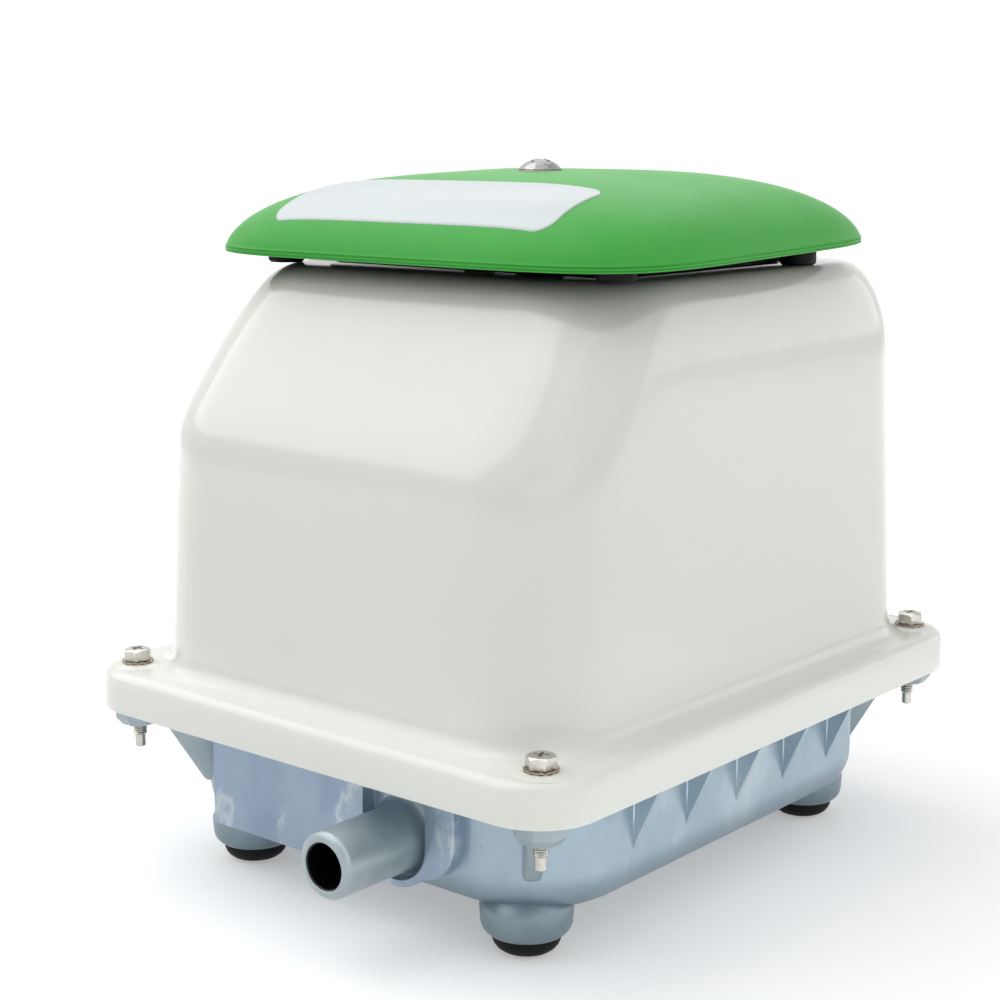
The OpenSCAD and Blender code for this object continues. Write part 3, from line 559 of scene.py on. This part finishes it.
def make_materials():
    enamel()
    cover_plastic()
    # The tank's low tone is painted shade towards its underside.
    casting_paint(
        "tank_paint", (srgb(150, 168, 183), srgb(170, 189, 202), srgb(192, 205, 214)),
        srgb(96, 110, 124), low=srgb(124, 145, 156),
    )
    casting_paint(
        "pad_paint", (srgb(142, 158, 184), srgb(156, 174, 194), srgb(176, 192, 204)),
        srgb(96, 108, 124), strokes=srgb(206, 214, 218),
    )
    casting_paint(
        "boss_paint", (srgb(150, 164, 170), srgb(168, 181, 187), srgb(186, 196, 200)),
        srgb(96, 110, 124),
    )
    # rib_paint's edge tone is a painted highlight along the ribs.
    casting_paint(
        "rib_paint", (srgb(158, 176, 190), srgb(178, 197, 209), srgb(200, 212, 220)),
        srgb(96, 110, 124), edge=srgb(206, 222, 232),
    )
    # The legs' darker copy of the tank's paint is painted shade near the floor.
    casting_paint(
        "leg_painted_shade", (srgb(122, 140, 148), srgb(136, 154, 162), srgb(150, 166, 172)),
        srgb(96, 110, 124),
    )
    # pipe_paint's bore tone is painted shade inside the outlet.
    casting_paint(
        "pipe_paint", (srgb(142, 158, 164), srgb(158, 174, 180), srgb(178, 190, 194)),
        srgb(96, 106, 114), rough=(0.4, 0.3), metallic=0.3, bore=True,
    )
    metal("stainless", srgb(200, 198, 190), 0.22)
    metal("zinc_steel", srgb(190, 193, 196), 0.32)
    metal("washer_steel", srgb(168, 156, 142), 0.34)
    metal("dark_chrome", srgb(150, 150, 152), 0.12)
    metal("die_cast", srgb(196, 199, 204), 0.45, 220, 0.08)
    metal("core_steel", srgb(92, 96, 104), 0.4)
    metal("magnet", srgb(84, 86, 90), 0.5)
    metal("copper_wire", srgb(184, 104, 62), 0.35)
    plain("black_rubber", srgb(15, 15, 16), 0.6, Specular_IOR_Level=0.2)
    # Dark green: painted shade of the cover's underside, for the skin and the lip under the cover.
    plain("cover_inside_painted_shade", srgb(14, 26, 15), 0.7)
    plain("black_plastic", srgb(34, 34, 36), 0.45)
    plain("cream_plastic", srgb(222, 216, 196), 0.45)
    plain("red_plastic", srgb(176, 38, 30), 0.4)
    plain("filter_foam", srgb(118, 120, 124), 0.95, 900, 0.3)
    Look("label_film", Base_Color=srgb(214, 223, 224), Roughness=0.28)
    plain("flap_rubber", srgb(124, 70, 40), 0.6)
    plain("wire_jacket", srgb(38, 78, 168), 0.4)


# ---------- housing ----------


def draft_in(z):
    """How far the walls' draft brings them in at height z."""
    return (z - LEDGE_Z) * DRAFT


def round_in(z, width, height):
    """How far a quarter ellipse of that width and height brings the walls in below the top."""
    rise = max(0.0, (z - TOP_Z + height) / height)
    return width * (1 - math.sqrt(max(0.0, 1 - rise * rise)))


def soft_min(a, b, s):
    """The smaller of two values, with a bend about s wide where they meet."""
    return -s * math.log(math.exp(-a / s) + math.exp(-b / s))


def slope_at(z):
    """Reach of the sloping front at height z."""
    run = BODY_FRONT - draft_in(SLOPE_Z) - SLOPE_Y
    return SLOPE_Y + run * (TOP_Z - z) / (TOP_Z - SLOPE_Z)


def body_ring(z, grow=0.0, at=None):
    """Outline of the housing's wall at height z, grown outward, placed at height at."""
    x = BODY_X - draft_in(z) - round_in(z, ROUND_W, ROUND_H) + grow
    back = BODY_BACK - draft_in(z) - round_in(z, ROUND_W, ROUND_H) + grow
    front = soft_min(BODY_FRONT - draft_in(z), slope_at(z), SLOPE_BEND)
    front += grow - round_in(z, FRONT_ROUND, FRONT_ROUND)
    return plan(-x, x, -front, back, BODY_R + grow, z if at is None else at)


def flange_ring(inset, z):
    return centred(FLANGE_X - inset, FLANGE_Y - inset, FLANGE_R - inset, z)


def tray_ring(grow, z):
    x0, x1, y0, y1 = TRAY
    return plan(x0 - grow, x1 + grow, y0 - grow, y1 + grow, TRAY_R + grow, z)


def wall_heights():
    """Heights of the wall's rings, closer at the slope's foot and towards the top."""
    low = list(np.linspace(LEDGE_Z + FOOT_R, SLOPE_Z - 13, 7))
    bend = list(np.linspace(SLOPE_Z - 10, SLOPE_Z + 14, 17))
    top = [TOP_Z - ROUND_H + ROUND_H * math.sin(a) for a in quarter(22)]
    return low + bend + top


def housing_shape():
    """One skin: from the tray's underside down inside, round the flange, and up outside."""
    floor_z = LEDGE_Z - SKIRT_T
    heights = wall_heights()
    rings = [tray_ring(SHELL, TRAY_FLOOR - SHELL), tray_ring(SHELL, TOP_Z - SHELL)]
    for z in reversed(heights):
        rings.append(body_ring(z, -SHELL, at=max(z - SHELL, floor_z)))
    rings.append(body_ring(LEDGE_Z, -SHELL, at=floor_z))
    rings.append(flange_ring(SKIRT_T, floor_z))
    rings.append(flange_ring(SKIRT_T, FLANGE_BOTTOM + 0.4))
    rings.append(flange_ring(SKIRT_T - 0.5, FLANGE_BOTTOM))
    for inset, rise in rounding(FLANGE_LIP, 4):
        rings.append(flange_ring(inset, FLANGE_BOTTOM + rise))
    for fall, inset in rounding(LEDGE_ROUND, 8):
        rings.append(flange_ring(inset, LEDGE_Z - fall))
    for flare, rise in rounding(FOOT_R, 10)[:-1]:
        rings.append(body_ring(LEDGE_Z, flare, at=LEDGE_Z + rise))
    rings += [body_ring(z) for z in heights]
    for inset, fall in rounding(TRAY_EDGE, 5):
        rings.append(tray_ring(inset, TOP_Z - fall))
    for rise, inset in rounding(TRAY_FILLET, 5):
        rings.append(tray_ring(-inset, TRAY_FLOOR + rise))
    turns = [math.atan2(y, x) for x, y, _ in rings[-1]]
    for flare, rise in rounding(PILLAR_FILLET, 4):
        rings.append(circle(PILLAR_R + flare, TRAY_FLOOR + rise, turns))
    rings.append(circle(PILLAR_R, PILLAR_TOP - 1, turns))
    rings.append(circle(PILLAR_R - 1, PILLAR_TOP, turns))
    rings.append(circle(PILLAR_BORE_R, PILLAR_TOP, turns))
    rings.append(circle(PILLAR_BORE_R, TRAY_FLOOR + 2, turns))
    return loft(rings)


def build_housing():
    piece("housing_shell", housing_shape(), "base", "white_paint", ["housing"], angle=45)
    # (radius, height over the ledge)
    seat = [(7.6, -1), (7.6, 0.02), (6.9, 0.12), (6.3, 0.4), (5.7, 0.57), (5.2, SEAT_RISE)]
    seats = four(lathe([(r, LEDGE_Z + z) for r, z in seat]), BOLT_X, BOLT_Y)
    piece("bolt_seats", seats, "base", "white_paint", ["housing"], angle=60)


# ---------- filter cover ----------


def dome(s):
    """Height of the dome, as a share of its crown, at a share s of the reach to the rim."""
    return (1 - s**3) ** 0.55


def bowed(value, half):
    """Place along a half axis of the superellipse, from a cosine or sine."""
    return half * math.copysign(abs(value) ** (2 / PLAN_POWER), value)


def cover_turns():
    """Angles that put the outline's points at even distances."""
    fine = np.linspace(0, 2 * math.pi, 20001)
    x = COVER_X * np.sign(np.cos(fine)) * np.abs(np.cos(fine)) ** (2 / PLAN_POWER)
    y = COVER_Y * np.sign(np.sin(fine)) * np.abs(np.sin(fine)) ** (2 / PLAN_POWER)
    length = np.concatenate([[0], np.cumsum(np.hypot(np.diff(x), np.diff(y)))])
    return np.interp(np.linspace(0, length[-1], 201)[:-1], length, fine)


TURNS = cover_turns()


def cover_ring(share, grow, z):
    x, y = share * (COVER_X + grow), share * (COVER_Y + grow)
    return [(bowed(math.cos(a), x), bowed(math.sin(a), y), z) for a in TURNS]


def tilted(shape):
    """From the cover's own frame, whose rim is z = 0, to the pump's."""
    verts, faces = shape
    matrix = Matrix.Translation((0, 0, RIM_Z)) @ Matrix.Rotation(TILT, 4, "X")
    return [tuple(matrix @ Vector(v)) for v in verts], faces


def dome_shares():
    """Shares of reach from rim to crown, closer where the dome turns fastest."""
    s = np.linspace(1, 0.06, 4000)
    z = CROWN * np.array([dome(v) for v in s])
    turn = np.abs(np.diff(np.arctan2(np.diff(z), np.diff(s * COVER_Y))))
    weight = np.concatenate([[0], np.cumsum(turn + 0.5 / len(s))])
    return np.interp(np.linspace(0, weight[-1], 56), weight, s[: len(weight)])


def dome_rings(offset, over):
    """Rings from the rim up, set off from the dome's surface, where it is over a height."""
    rings = []
    for s in dome_shares()[1:]:
        z = CROWN * dome(s)
        if z > over:
            rings.append(cover_ring(s, offset, z + offset))
    return rings


# Two fine lines round the cover's rim, as (growth, height)
COVER_LINES = [
    (0, 0.4), (-0.2, 0.48), (-0.2, 0.66), (0, 0.76),
    (0, 1.2), (-0.28, 1.34), (-0.28, 1.6), (-0.04, 1.76),
]


def cover_shape():
    rings = dome_rings(-COVER_WALL, COVER_WALL + 0.6)[::-1]
    rings.append(cover_ring(1, -COVER_WALL, 0.4))
    rings.append(cover_ring(1, 0.4 - COVER_WALL, 0))
    for inset, rise in rounding(0.25, 3):
        rings.append(cover_ring(1, -inset, rise))
    for grow, z in COVER_LINES:
        rings.append(cover_ring(1, grow, z))
    return loft(rings + dome_rings(0, 2.1), pole=True)


def cover_painted_shade_skin():
    """Thin dark skin under the cover and on the lower face of its rim, painted shade of the green
    plastic.
    """
    skin = COVER_WALL + 0.1
    rings = dome_rings(-skin, COVER_WALL + 0.6)[::-1]
    rings.append(cover_ring(1, -skin, 0.2))
    rings.append(cover_ring(1, -COVER_WALL, -0.06))
    rings.append(cover_ring(1, -0.5, -0.06))
    rings.append(cover_ring(1, -0.6, 0.5))
    return loft(rings + dome_rings(0.4 - COVER_WALL, 4), pole=True)


def dome_point(x, y, lift):
    """Point over the place x, y, lifted from the cover's surface, in the cover's own frame."""
    reach = (abs(x) / COVER_X) ** PLAN_POWER + (abs(y) / COVER_Y) ** PLAN_POWER
    share = min(reach ** (1 / PLAN_POWER), 1.0)
    return (x, y, CROWN * dome(share) + lift)


def cover_lip():
    """Wall under the cover round the filter tray, ending just above the housing."""
    x, y0, y1, r, t = 54, -37, 52.5, 9, 1.8
    outer = plan(-x, x, y0, y1, r, 0)
    inner = plan(t - x, x - t, y0 + t, y1 - t, r - t, 0)

    def foot(ring):
        return [(x, y, TOP_Z + 0.6 - RIM_Z - y * math.sin(TILT)) for x, y, _ in ring]

    def head(ring):
        return [dome_point(x, y, -1.6) for x, y, _ in ring]

    return tube([foot(outer), head(outer), head(inner), foot(inner)])


def label_shape():
    """Thin bare plate that follows the dome."""
    rings = []
    thick, edge = 0.35, 0.15
    half_x, y0, y1, r = 50.0, -59.3, -33.4, 5.0
    steps = [0, 0.5, 2, 4, 6, 8, 10, 12, 12.9]
    lower = plan(-half_x, half_x, y0, y1, r, 0, seg=8, side=24)
    rings.append([dome_point(x, y, -0.3) for x, y, _ in lower])
    rings.append([dome_point(x, y, thick - edge) for x, y, _ in lower])
    for step in steps:
        inset = edge + step
        ring = plan(
            -half_x + inset, half_x - inset, y0 + inset, y1 - inset, max(r - inset, 0.05), 0,
            seg=8, side=24,
        )
        rings.append([dome_point(x, y, thick) for x, y, _ in ring])
    return loft(rings)


def cover_screw_shape():
    """Low domed head, an arc of a circle, on a plain shank."""
    r, h = 6.45, 3.2
    bow = (r * r + h * h) / (2 * h)
    base = SEAT_TOP + 0.55
    top = math.asin(r / bow)
    profile = [(2.5, 172), (2.5, base), (r - 0.25, base), (r, base + 0.25)]
    for k in range(1, 14):
        a = top * (1 - k / 14)
        profile.append((bow * math.sin(a), base + h - bow + bow * math.cos(a)))
    profile.append((0.15, base + h))
    return lathe(profile, 96)


def build_cover():
    plastic = ("cover", "green_plastic", ["filter_cover"])
    piece("cover_shell", tilted(cover_shape()), *plastic, angle=50)
    # The skin and the lip under the cover wear the dark green of painted shade.
    piece("cover_painted_shade_skin", tilted(cover_painted_shade_skin()), *plastic, angle=50, look="cover_inside_painted_shade")
    piece("cover_lip", tilted(cover_lip()), *plastic, angle=50, look="cover_inside_painted_shade")
    middle_post = lathe([(7.5, 187), (7.5, 199)], 48)
    pad_posts = four(lathe([(4.5, RIM_Z), (4.5, 188)], 32), PAD_X, PAD_Y)
    piece("cover_posts", joined([middle_post, pad_posts]), *plastic)
    piece("plain_label", tilted(label_shape()), "cover", "label_film", ["label_plate"], angle=50)
    pads = lathe([(4.6, TOP_Z + 0.05), (5.25, TOP_Z + 0.7), (5.25, RIM_Z)], 40)
    piece("cover_feet", four(pads, PAD_X, PAD_Y), "cover", "black_rubber", ["cover_pads"])
    # (radius, height over the seat)
    washer = [(6.75, 0), (6.75, 0.35), (6.55, 0.5), (2.6, 0.5)]
    washer = lathe([(r, SEAT_TOP + z) for r, z in washer], 72)
    piece("screw_seat_washer", washer, "cover", "washer_steel", ["screw_washer"])
    screw = new_object("cover_screw_head", cover_screw_shape())
    cut_cross(screw, 3.7, 0.65, SEAT_TOP + 2.2)
    finish_piece(screw, "screw", "dark_chrome", ["cover_screw"], angle=30, bevel=0.12)


# ---------- bolts ----------


def bolt_head():
    """Hexagon head with rounded corners and a cross, on the Z axis."""
    corner = HEAD_FLATS / math.sqrt(3)
    head = new_object("bolt_head", lathe([(corner, HEAD_BOTTOM), (corner, HEAD_BOTTOM + HEAD_H)], 6))
    # (radius, height over the washer)
    rounding = [
        (4.6, -1), (4.35, 0), (4.2, 1.9), (3.95, 2.5), (3.45, 3.0), (2.9, 3.22), (1.5, HEAD_H)
    ]
    cut(head, lathe([(r, HEAD_BOTTOM + z) for r, z in rounding], 64), "INTERSECT")
    cut_cross(head, 2, 0.5, HEAD_BOTTOM + 1.7)
    return taken(head)


def thread(r, z0, z1, pitch=0.7, depth=0.22):
    """Profile of a thread, drawn as grooves, from z0 up to z1."""
    profile = [(r - depth, z0)]
    z = z0
    while z + pitch <= z1:
        profile += [(r, z + pitch * 0.4), (r, z + pitch * 0.55), (r - depth, z + pitch)]
        z += pitch
    profile.append((r - depth, z1))
    return profile


def tooth_washer(z):
    """Lock washer whose outer teeth are twisted up and down."""
    n, teeth, half_t = 192, 12, 0.25
    # (radius, share of the twist), from the hole outward
    reach = [(2.15, 0), (3.5, 0), (4.2, 0.45), (4.55, 1.0)]
    levels = [(r, twist, -half_t) for r, twist in reach]
    levels += [(r, twist, half_t) for r, twist in reversed(reach)]
    rings = []
    for r, twist, side in levels:
        ring = []
        for k in range(n):
            a = 2 * math.pi * k / n
            tooth = math.sin(teeth * a)
            out = r + (0.18 * abs(tooth) - 0.25) * (twist == 1)
            ring.append((out * math.cos(a), out * math.sin(a), z + 0.4 + side + 0.22 * twist * tooth))
        rings.append(ring)
    return tube(rings)


def build_bolts():
    thread_z = BOLT_BOTTOM + 3.8
    shank = [(1.15, BOLT_BOTTOM), (1.5, BOLT_BOTTOM + 0.35), (1.5, thread_z - 0.2)]
    shank += thread(BOLT_R, thread_z, BOSS_BOTTOM + 2)
    shank += [(BOLT_R - 0.1, BOSS_BOTTOM + 3), (BOLT_R - 0.1, HEAD_BOTTOM + 0.5)]
    head = bolt_head()
    heads = []
    for (sx, sy), turn in zip(CORNERS, (12, 41, 25, 3)):
        heads.append(moved(head, (sx * BOLT_X, sy * BOLT_Y, 0), (0, 0, turn)))
    piece("bolt_heads", joined(heads), "base", "stainless", ["housing_bolts"], angle=30, bevel=0.14)
    shanks = four(lathe(shank, 40), BOLT_X, BOLT_Y)
    piece("bolt_shanks", shanks, "base", "stainless", ["housing_bolts"], angle=25)
    washers = four(tooth_washer(LEDGE_Z + SEAT_RISE), BOLT_X, BOLT_Y)
    piece("lock_washers", washers, "base", "washer_steel", ["tooth_washers"], angle=50)


# ---------- tank ----------


def tank_shape():
    """The casting's closed body with the plate under the housing's flange."""
    rings = []
    for inset, rise in rounding(TANK_EDGE, 8):
        rings.append(centred(TANK_X - inset, TANK_Y - inset, TANK_R - inset, TANK_BOTTOM + rise))
    rings.append(centred(TANK_X, TANK_Y, TANK_R, TANK_TOP))
    plate = [centred(PLATE_X, PLATE_Y, PLATE_R, z) for z in (PLATE_BOTTOM, TANK_TOP)]
    return joined([loft(rings), loft(plate)])


def leg():
    """Round leg that tapers into the tank's underside."""
    profile = [(LEG_R - inset, LEG_BOTTOM + rise) for inset, rise in rounding(LEG_ROUND, 6)]
    profile += [(LEG_R + 0.2, 12.6), (LEG_R - 0.6, 14.2), (LEG_R - 2.2, 16), (LEG_R - 4.5, 18)]
    return lathe(profile, 64)


def rib(y):
    """Tapered rib on the tank's right wall, with a fillet strip along each of its sides that carries
    rib_paint's painted highlight.
    """
    wall, out, t = TANK_X - 3, TANK_X + 9.5, RIB_T / 2
    outline = [(wall, 24), (TANK_X - 0.3, 26), (TANK_X + 0.6, 29)]
    outline += [(out, 48.2), (out, UNDER_FLANGE), (wall, UNDER_FLANGE)]
    strips = [prism(outline, y - t, y + t)]
    for side in (-1, 1):
        rings = []
        for z, w in ((31, 0.1), (36, 0.32), (UNDER_FLANGE, 0.45)):
            corners = [(-0.2, side * (t + w)), (w, side * t), (-0.2, side * t)][::-side]
            rings.append([(TANK_X + a, y + b, z) for a, b in corners])
        strips.append(loft(rings))
    return joined(strips)


def corner_webs():
    """Webs at 45 degrees from the bolt bosses back to the wall."""
    # (distance from the bolt, height)
    outline = [(18.6, 24), (27, 24), (27, UNDER_FLANGE), (4, UNDER_FLANGE), (4, 43), (6.8, 42.6)]
    web = taken(bevelled(new_object("web", prism(outline, -WEB_T / 2, WEB_T / 2)), 1.3))
    webs = []
    for sx, sy in CORNERS:
        turn = math.degrees(math.atan2(-sy, -sx))
        webs.append(moved(web, (sx * BOLT_X, sy * BOLT_Y, 0), (0, 0, turn)))
    return joined(webs)


def boss():
    """Eight-sided boss round a bolt, narrower at its foot."""
    turn = 22.5
    r = BOSS_FLATS / 2 / math.cos(math.radians(turn))
    shape = lathe([(r - 1.9, BOSS_BOTTOM), (r, BOSS_BOTTOM + 2.2), (r, UNDER_FLANGE)], 8)
    return moved(shape, turn=(0, 0, turn))


def pad_outline():
    """Front of the raised pad, with the round rim of the outlet pocket below it."""
    left, right, corner_r = -47, 44, 12
    # The rim runs from the pad's lower edge, z = 17, to its corner's start, z = 20
    start, end = math.atan2(-12, -5), math.atan2(-9, math.sqrt(POCKET_RIM**2 - 9**2))
    outline = [(left, UNDER_FLANGE), (left, 17)]
    for k in range(17):
        a = start + (end - start) * k / 16
        outline.append((PIPE_X + POCKET_RIM * math.cos(a), PIPE_Z + POCKET_RIM * math.sin(a)))
    for a in quarter(12, 4, 90):
        x, z = right - corner_r + corner_r * math.sin(a), 32 - corner_r * math.cos(a)
        outline.append((x, z))
    return outline + [(right, UNDER_FLANGE)]


def pocket_outline():
    """Front of the pocket round the outlet, open to its lower half circle."""
    r, top = POCKET_R, 48.4
    arc = [(PIPE_X - r * math.cos(a), PIPE_Z - r * math.sin(a)) for a in quarter(32, 0, 180)]
    return arc + [(PIPE_X + r, top), (PIPE_X - r, top)]


def at_outlet(shape):
    """A shape drawn on the Z axis, laid along the outlet with z = 0 on the tank's front."""
    return moved(shape, (PIPE_X, -TANK_Y, PIPE_Z), (90, 0, 0))


def pipe_shape():
    end, edge = PIPE_END - TANK_Y, 2.0
    # (growth over the pipe's radius, distance from the tank's front)
    fillet = [(2.2, -4), (2.0, 0), (0.9, 0.35), (0.35, 1.0), (0, 2.2)]
    profile = [(PIPE_R + grow, z) for grow, z in fillet]
    for a in quarter(6):
        profile.append((PIPE_R - edge + edge * math.cos(a), end - edge + edge * math.sin(a)))
    profile += [(BORE_R + 0.5, end), (BORE_R, end - 0.5), (BORE_R, -3)]
    return at_outlet(lathe(profile, 96))


def build_tank():
    paint = ("base", "tank_paint")
    bore = at_outlet(lathe([(BORE_R, -50), (BORE_R, 12)], 64))
    tank = remeshed(new_object("tank_casting", tank_shape()), 0.6, 3)
    cut(tank, bore)
    finish_piece(tank, *paint, ["tank_base", "tank_flange"], angle=60)
    legs = four(leg(), LEG_X, LEG_Y)
    # The legs wear the darker paint that stands for their shade.
    piece("tank_legs_cast", legs, *paint, ["tank_legs"], angle=50, look="leg_painted_shade")

    pad = new_object("front_pad", prism(pad_outline(), -TANK_Y - PAD_PROUD, -TANK_Y + 8))
    cut(pad, prism(pocket_outline(), -TANK_Y - 2 * PAD_PROUD, -TANK_Y))
    bevelled(pad, 0.35)
    cut(pad, bore)
    finish_piece(pad, *paint, ["tank_base"], angle=40, look="pad_paint")

    webs = new_object("boss_webs", four(boss(), BOLT_X, BOLT_Y))
    cut(webs, corner_webs(), "UNION")
    finish_piece(webs, *paint, ["tank_brackets"], angle=28, look="boss_paint")
    ribs = [moved(rib(k * RIB_PITCH), turn=(0, 0, a)) for k in range(-2, 3) for a in (0, 180)]
    piece("tank_ribs", joined(ribs), *paint, ["tank_brackets"], angle=30, look="rib_paint")
    piece("outlet_pipe", pipe_shape(), *paint, ["outlet_stub"], angle=40, look="pipe_paint")


def build_diaphragms():
    """Rubber copies of the diaphragms, with a share for each point from the rod's disc out to the
    still rim.
    """
    for name in ("diaphragm_front", "diaphragm_rear"):
        node = frame["nodes"][name]
        obj = bpy.data.objects.new(name + "_rubber", node.data.copy())
        bpy.context.scene.collection.objects.link(obj)
        obj.matrix_world = node.matrix_world
        lo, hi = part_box(name)
        middle = [(a + b) / 2 for a, b in zip(lo, hi)]
        obj.data.materials.clear()
        obj.data.materials.append(MATERIALS["black_rubber"])
        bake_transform(obj)
        # Each point's share, eased, by its distance from the rod, from the disc to the still rim
        away = [math.hypot(v.co.x - middle[0], v.co.z - middle[2]) / MM for v in obj.data.vertices]
        share = np.clip((np.array(away) - DISC_R) / (CASE_R - DISC_R), 0, 1)
        share = (share * share * (3 - 2 * share)).astype(np.float32)
        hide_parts(name)


def build_feet():
    top = LEG_BOTTOM + 0.2
    profile = [(3.6, 0), (5.6, 0.2), (7.0, 0.75), (8.0, 1.5), (8.7, 2.4), (9.1, 3.3), (9.2, 4.0)]
    profile += [(9.2, top - 0.25), (8.8, top)]
    feet = four(lathe(profile, 64), LEG_X, LEG_Y)
    piece("feet", feet, "base", "black_rubber", ["rubber_feet"], angle=50)


# ---------- surroundings ----------


# Fitted to the photograph. Turns in degrees, lengths in millimetres, place in metres
CAMERA_PLACE = (0.35338, -0.4327, 0.21149)
CAMERA_AZIMUTH, CAMERA_PITCH, CAMERA_ROLL = 40.05, 10.850, 0.057
CAMERA_LENS = 69.575
CAMERA_SENSOR = 36.0

SOFT_LIGHT = 0.18
# The floor's glow under the object, and the metres over which it rises to white
FLOOR_GLOW = 0.35
GLOW_FROM, GLOW_TO = 0.15, 1.1
LAMP_DISTANCE = 1.8
LAMP_TARGET = (0, 0, 0.1)
# Direction from the front and up in degrees, power in watts, size in metres
LAMPS = {
    "key": (-55, 48, 21.5, (2.4, 2.0)),
    "right": (90, 44, 7.6, (2.2, 1.8)),
    "back_left": (-130, 50, 5.0, (1.6, 1.4)),
    "top": (0, 85, 6.0, (1.6, 1.6)),
    "front_right": (60, 12, 2.0, (1.5, 0.6)),
    "back_right": (150, 14, 3.0, (1.5, 0.7)),
}
# A faint panel on the table beside the object's right side, shining up
TABLE_PLACE = (0.28, -0.03, 0.002)
TABLE_SIZE = (0.36, 0.56)
TABLE_POWER = 0.17


def camera():
    data = bpy.data.cameras.new("camera")
    data.sensor_width = CAMERA_SENSOR
    data.lens = CAMERA_LENS
    data.clip_start = 0.01
    data.clip_end = 20
    obj = bpy.data.objects.new("camera", data)
    bpy.context.scene.collection.objects.link(obj)
    obj.location = CAMERA_PLACE
    obj.rotation_mode = "XYZ"
    obj.rotation_euler = (
        Matrix.Rotation(math.radians(CAMERA_AZIMUTH), 3, "Z")
        @ Matrix.Rotation(math.radians(90 - CAMERA_PITCH), 3, "X")
        @ Matrix.Rotation(math.radians(CAMERA_ROLL), 3, "Z")
    ).to_euler()
    bpy.context.scene.camera = obj


def panel(name, power, size):
    """A rectangular lamp that the camera doesn't see."""
    data = bpy.data.lights.new(name, "AREA")
    data.shape = "RECTANGLE"
    data.size, data.size_y = size
    data.energy = power
    obj = bpy.data.objects.new(name, data)
    bpy.context.scene.collection.objects.link(obj)
    obj.visible_camera = False
    return obj


def lamps():
    for name, (azimuth, height, power, size) in LAMPS.items():
        obj = panel(name, power, size)
        a, e = math.radians(azimuth), math.radians(height)
        way = Vector((math.sin(a) * math.cos(e), -math.cos(a) * math.cos(e), math.sin(e)))
        obj.location = Vector(LAMP_TARGET) + way * LAMP_DISTANCE
        obj.rotation_euler = (-way).to_track_quat("-Z", "Y").to_euler()
    table = panel("table", TABLE_POWER, TABLE_SIZE)
    table.location = TABLE_PLACE
    table.rotation_euler = (math.pi, 0, 0)


def seen_directly(tree):
    """1 for rays that show the surroundings, 0 for rays that gather their light."""
    rays = tree.nodes.new("ShaderNodeLightPath").outputs
    seen = rays["Is Camera Ray"]
    for name in ("Is Glossy Ray", "Is Transmission Ray"):
        seen = calc(tree, "Math", "MAXIMUM", seen, rays[name]).outputs[0]
    return seen


def backdrop():
    """A plain world: white where it is seen, weaker as a source of light."""
    world = bpy.data.worlds.new("studio")
    bpy.context.scene.world = world
    world.use_nodes = True
    tree = world.node_tree
    tree.nodes.clear()
    mix = tree.nodes.new("ShaderNodeMixShader")
    tree.links.new(seen_directly(tree), mix.inputs[0])
    for place, strength in ((1, SOFT_LIGHT), (2, 1.0)):
        light = tree.nodes.new("ShaderNodeBackground")
        light.inputs["Color"].default_value = (1, 1, 1, 1)
        light.inputs["Strength"].default_value = strength
        tree.links.new(light.outputs[0], mix.inputs[place])
    out = tree.nodes.new("ShaderNodeOutputWorld")
    tree.links.new(mix.outputs[0], out.inputs["Surface"])


def floor_paint():
    """Pale and matt. Seen directly, it glows more the farther it is from the object."""
    material = bpy.data.materials.new("floor")
    material.use_nodes = True
    tree = material.node_tree
    shader = tree.nodes["Principled BSDF"]
    shader.inputs["Base Color"].default_value = (0.9, 0.9, 0.9, 1)
    shader.inputs["Roughness"].default_value = 0.9
    shader.inputs["Specular IOR Level"].default_value = 0.0
    place = tree.nodes.new("ShaderNodeTexCoord").outputs["Object"]
    reach = calc(tree, "VectorMath", "LENGTH", place)
    rise = tree.nodes.new("ShaderNodeMapRange")
    rise.inputs["From Min"].default_value = GLOW_FROM
    rise.inputs["From Max"].default_value = GLOW_TO
    rise.inputs["To Min"].default_value = FLOOR_GLOW
    rise.inputs["To Max"].default_value = 1.0
    tree.links.new(reach.outputs["Value"], rise.inputs["Value"])
    strength = calc(tree, "Math", "MULTIPLY", rise.outputs["Result"], seen_directly(tree))
    glow = tree.nodes.new("ShaderNodeEmission")
    tree.links.new(strength.outputs[0], glow.inputs["Strength"])
    add = tree.nodes.new("ShaderNodeAddShader")
    tree.links.new(shader.outputs[0], add.inputs[0])
    tree.links.new(glow.outputs[0], add.inputs[1])
    tree.links.new(add.outputs[0], tree.nodes["Material Output"].inputs["Surface"])
    return material


def surroundings():
    backdrop()
    half = 3000
    corners = [(-half, -half, 0), (half, -half, 0), (half, half, 0), (-half, half, 0)]
    floor = new_object("floor", (corners, [(0, 1, 2, 3)]))
    floor.data.materials.append(floor_paint())
    lamps()
    camera()
    bpy.context.scene.view_settings.view_transform = "Standard"


def dress_cad():
    """Materials of the CAD nodes that show themselves."""
    slots = {p["node"]: p["material_slot"] for p in frame["record"]["subparts"]}
    for name, obj in frame["nodes"].items():
        obj.data.materials.clear()
        obj.data.materials.append(MATERIALS[slots[name]])


make_materials()
dress_cad()
build_housing()
build_cover()
build_bolts()
build_tank()
build_feet()
build_diaphragms()
surroundings()
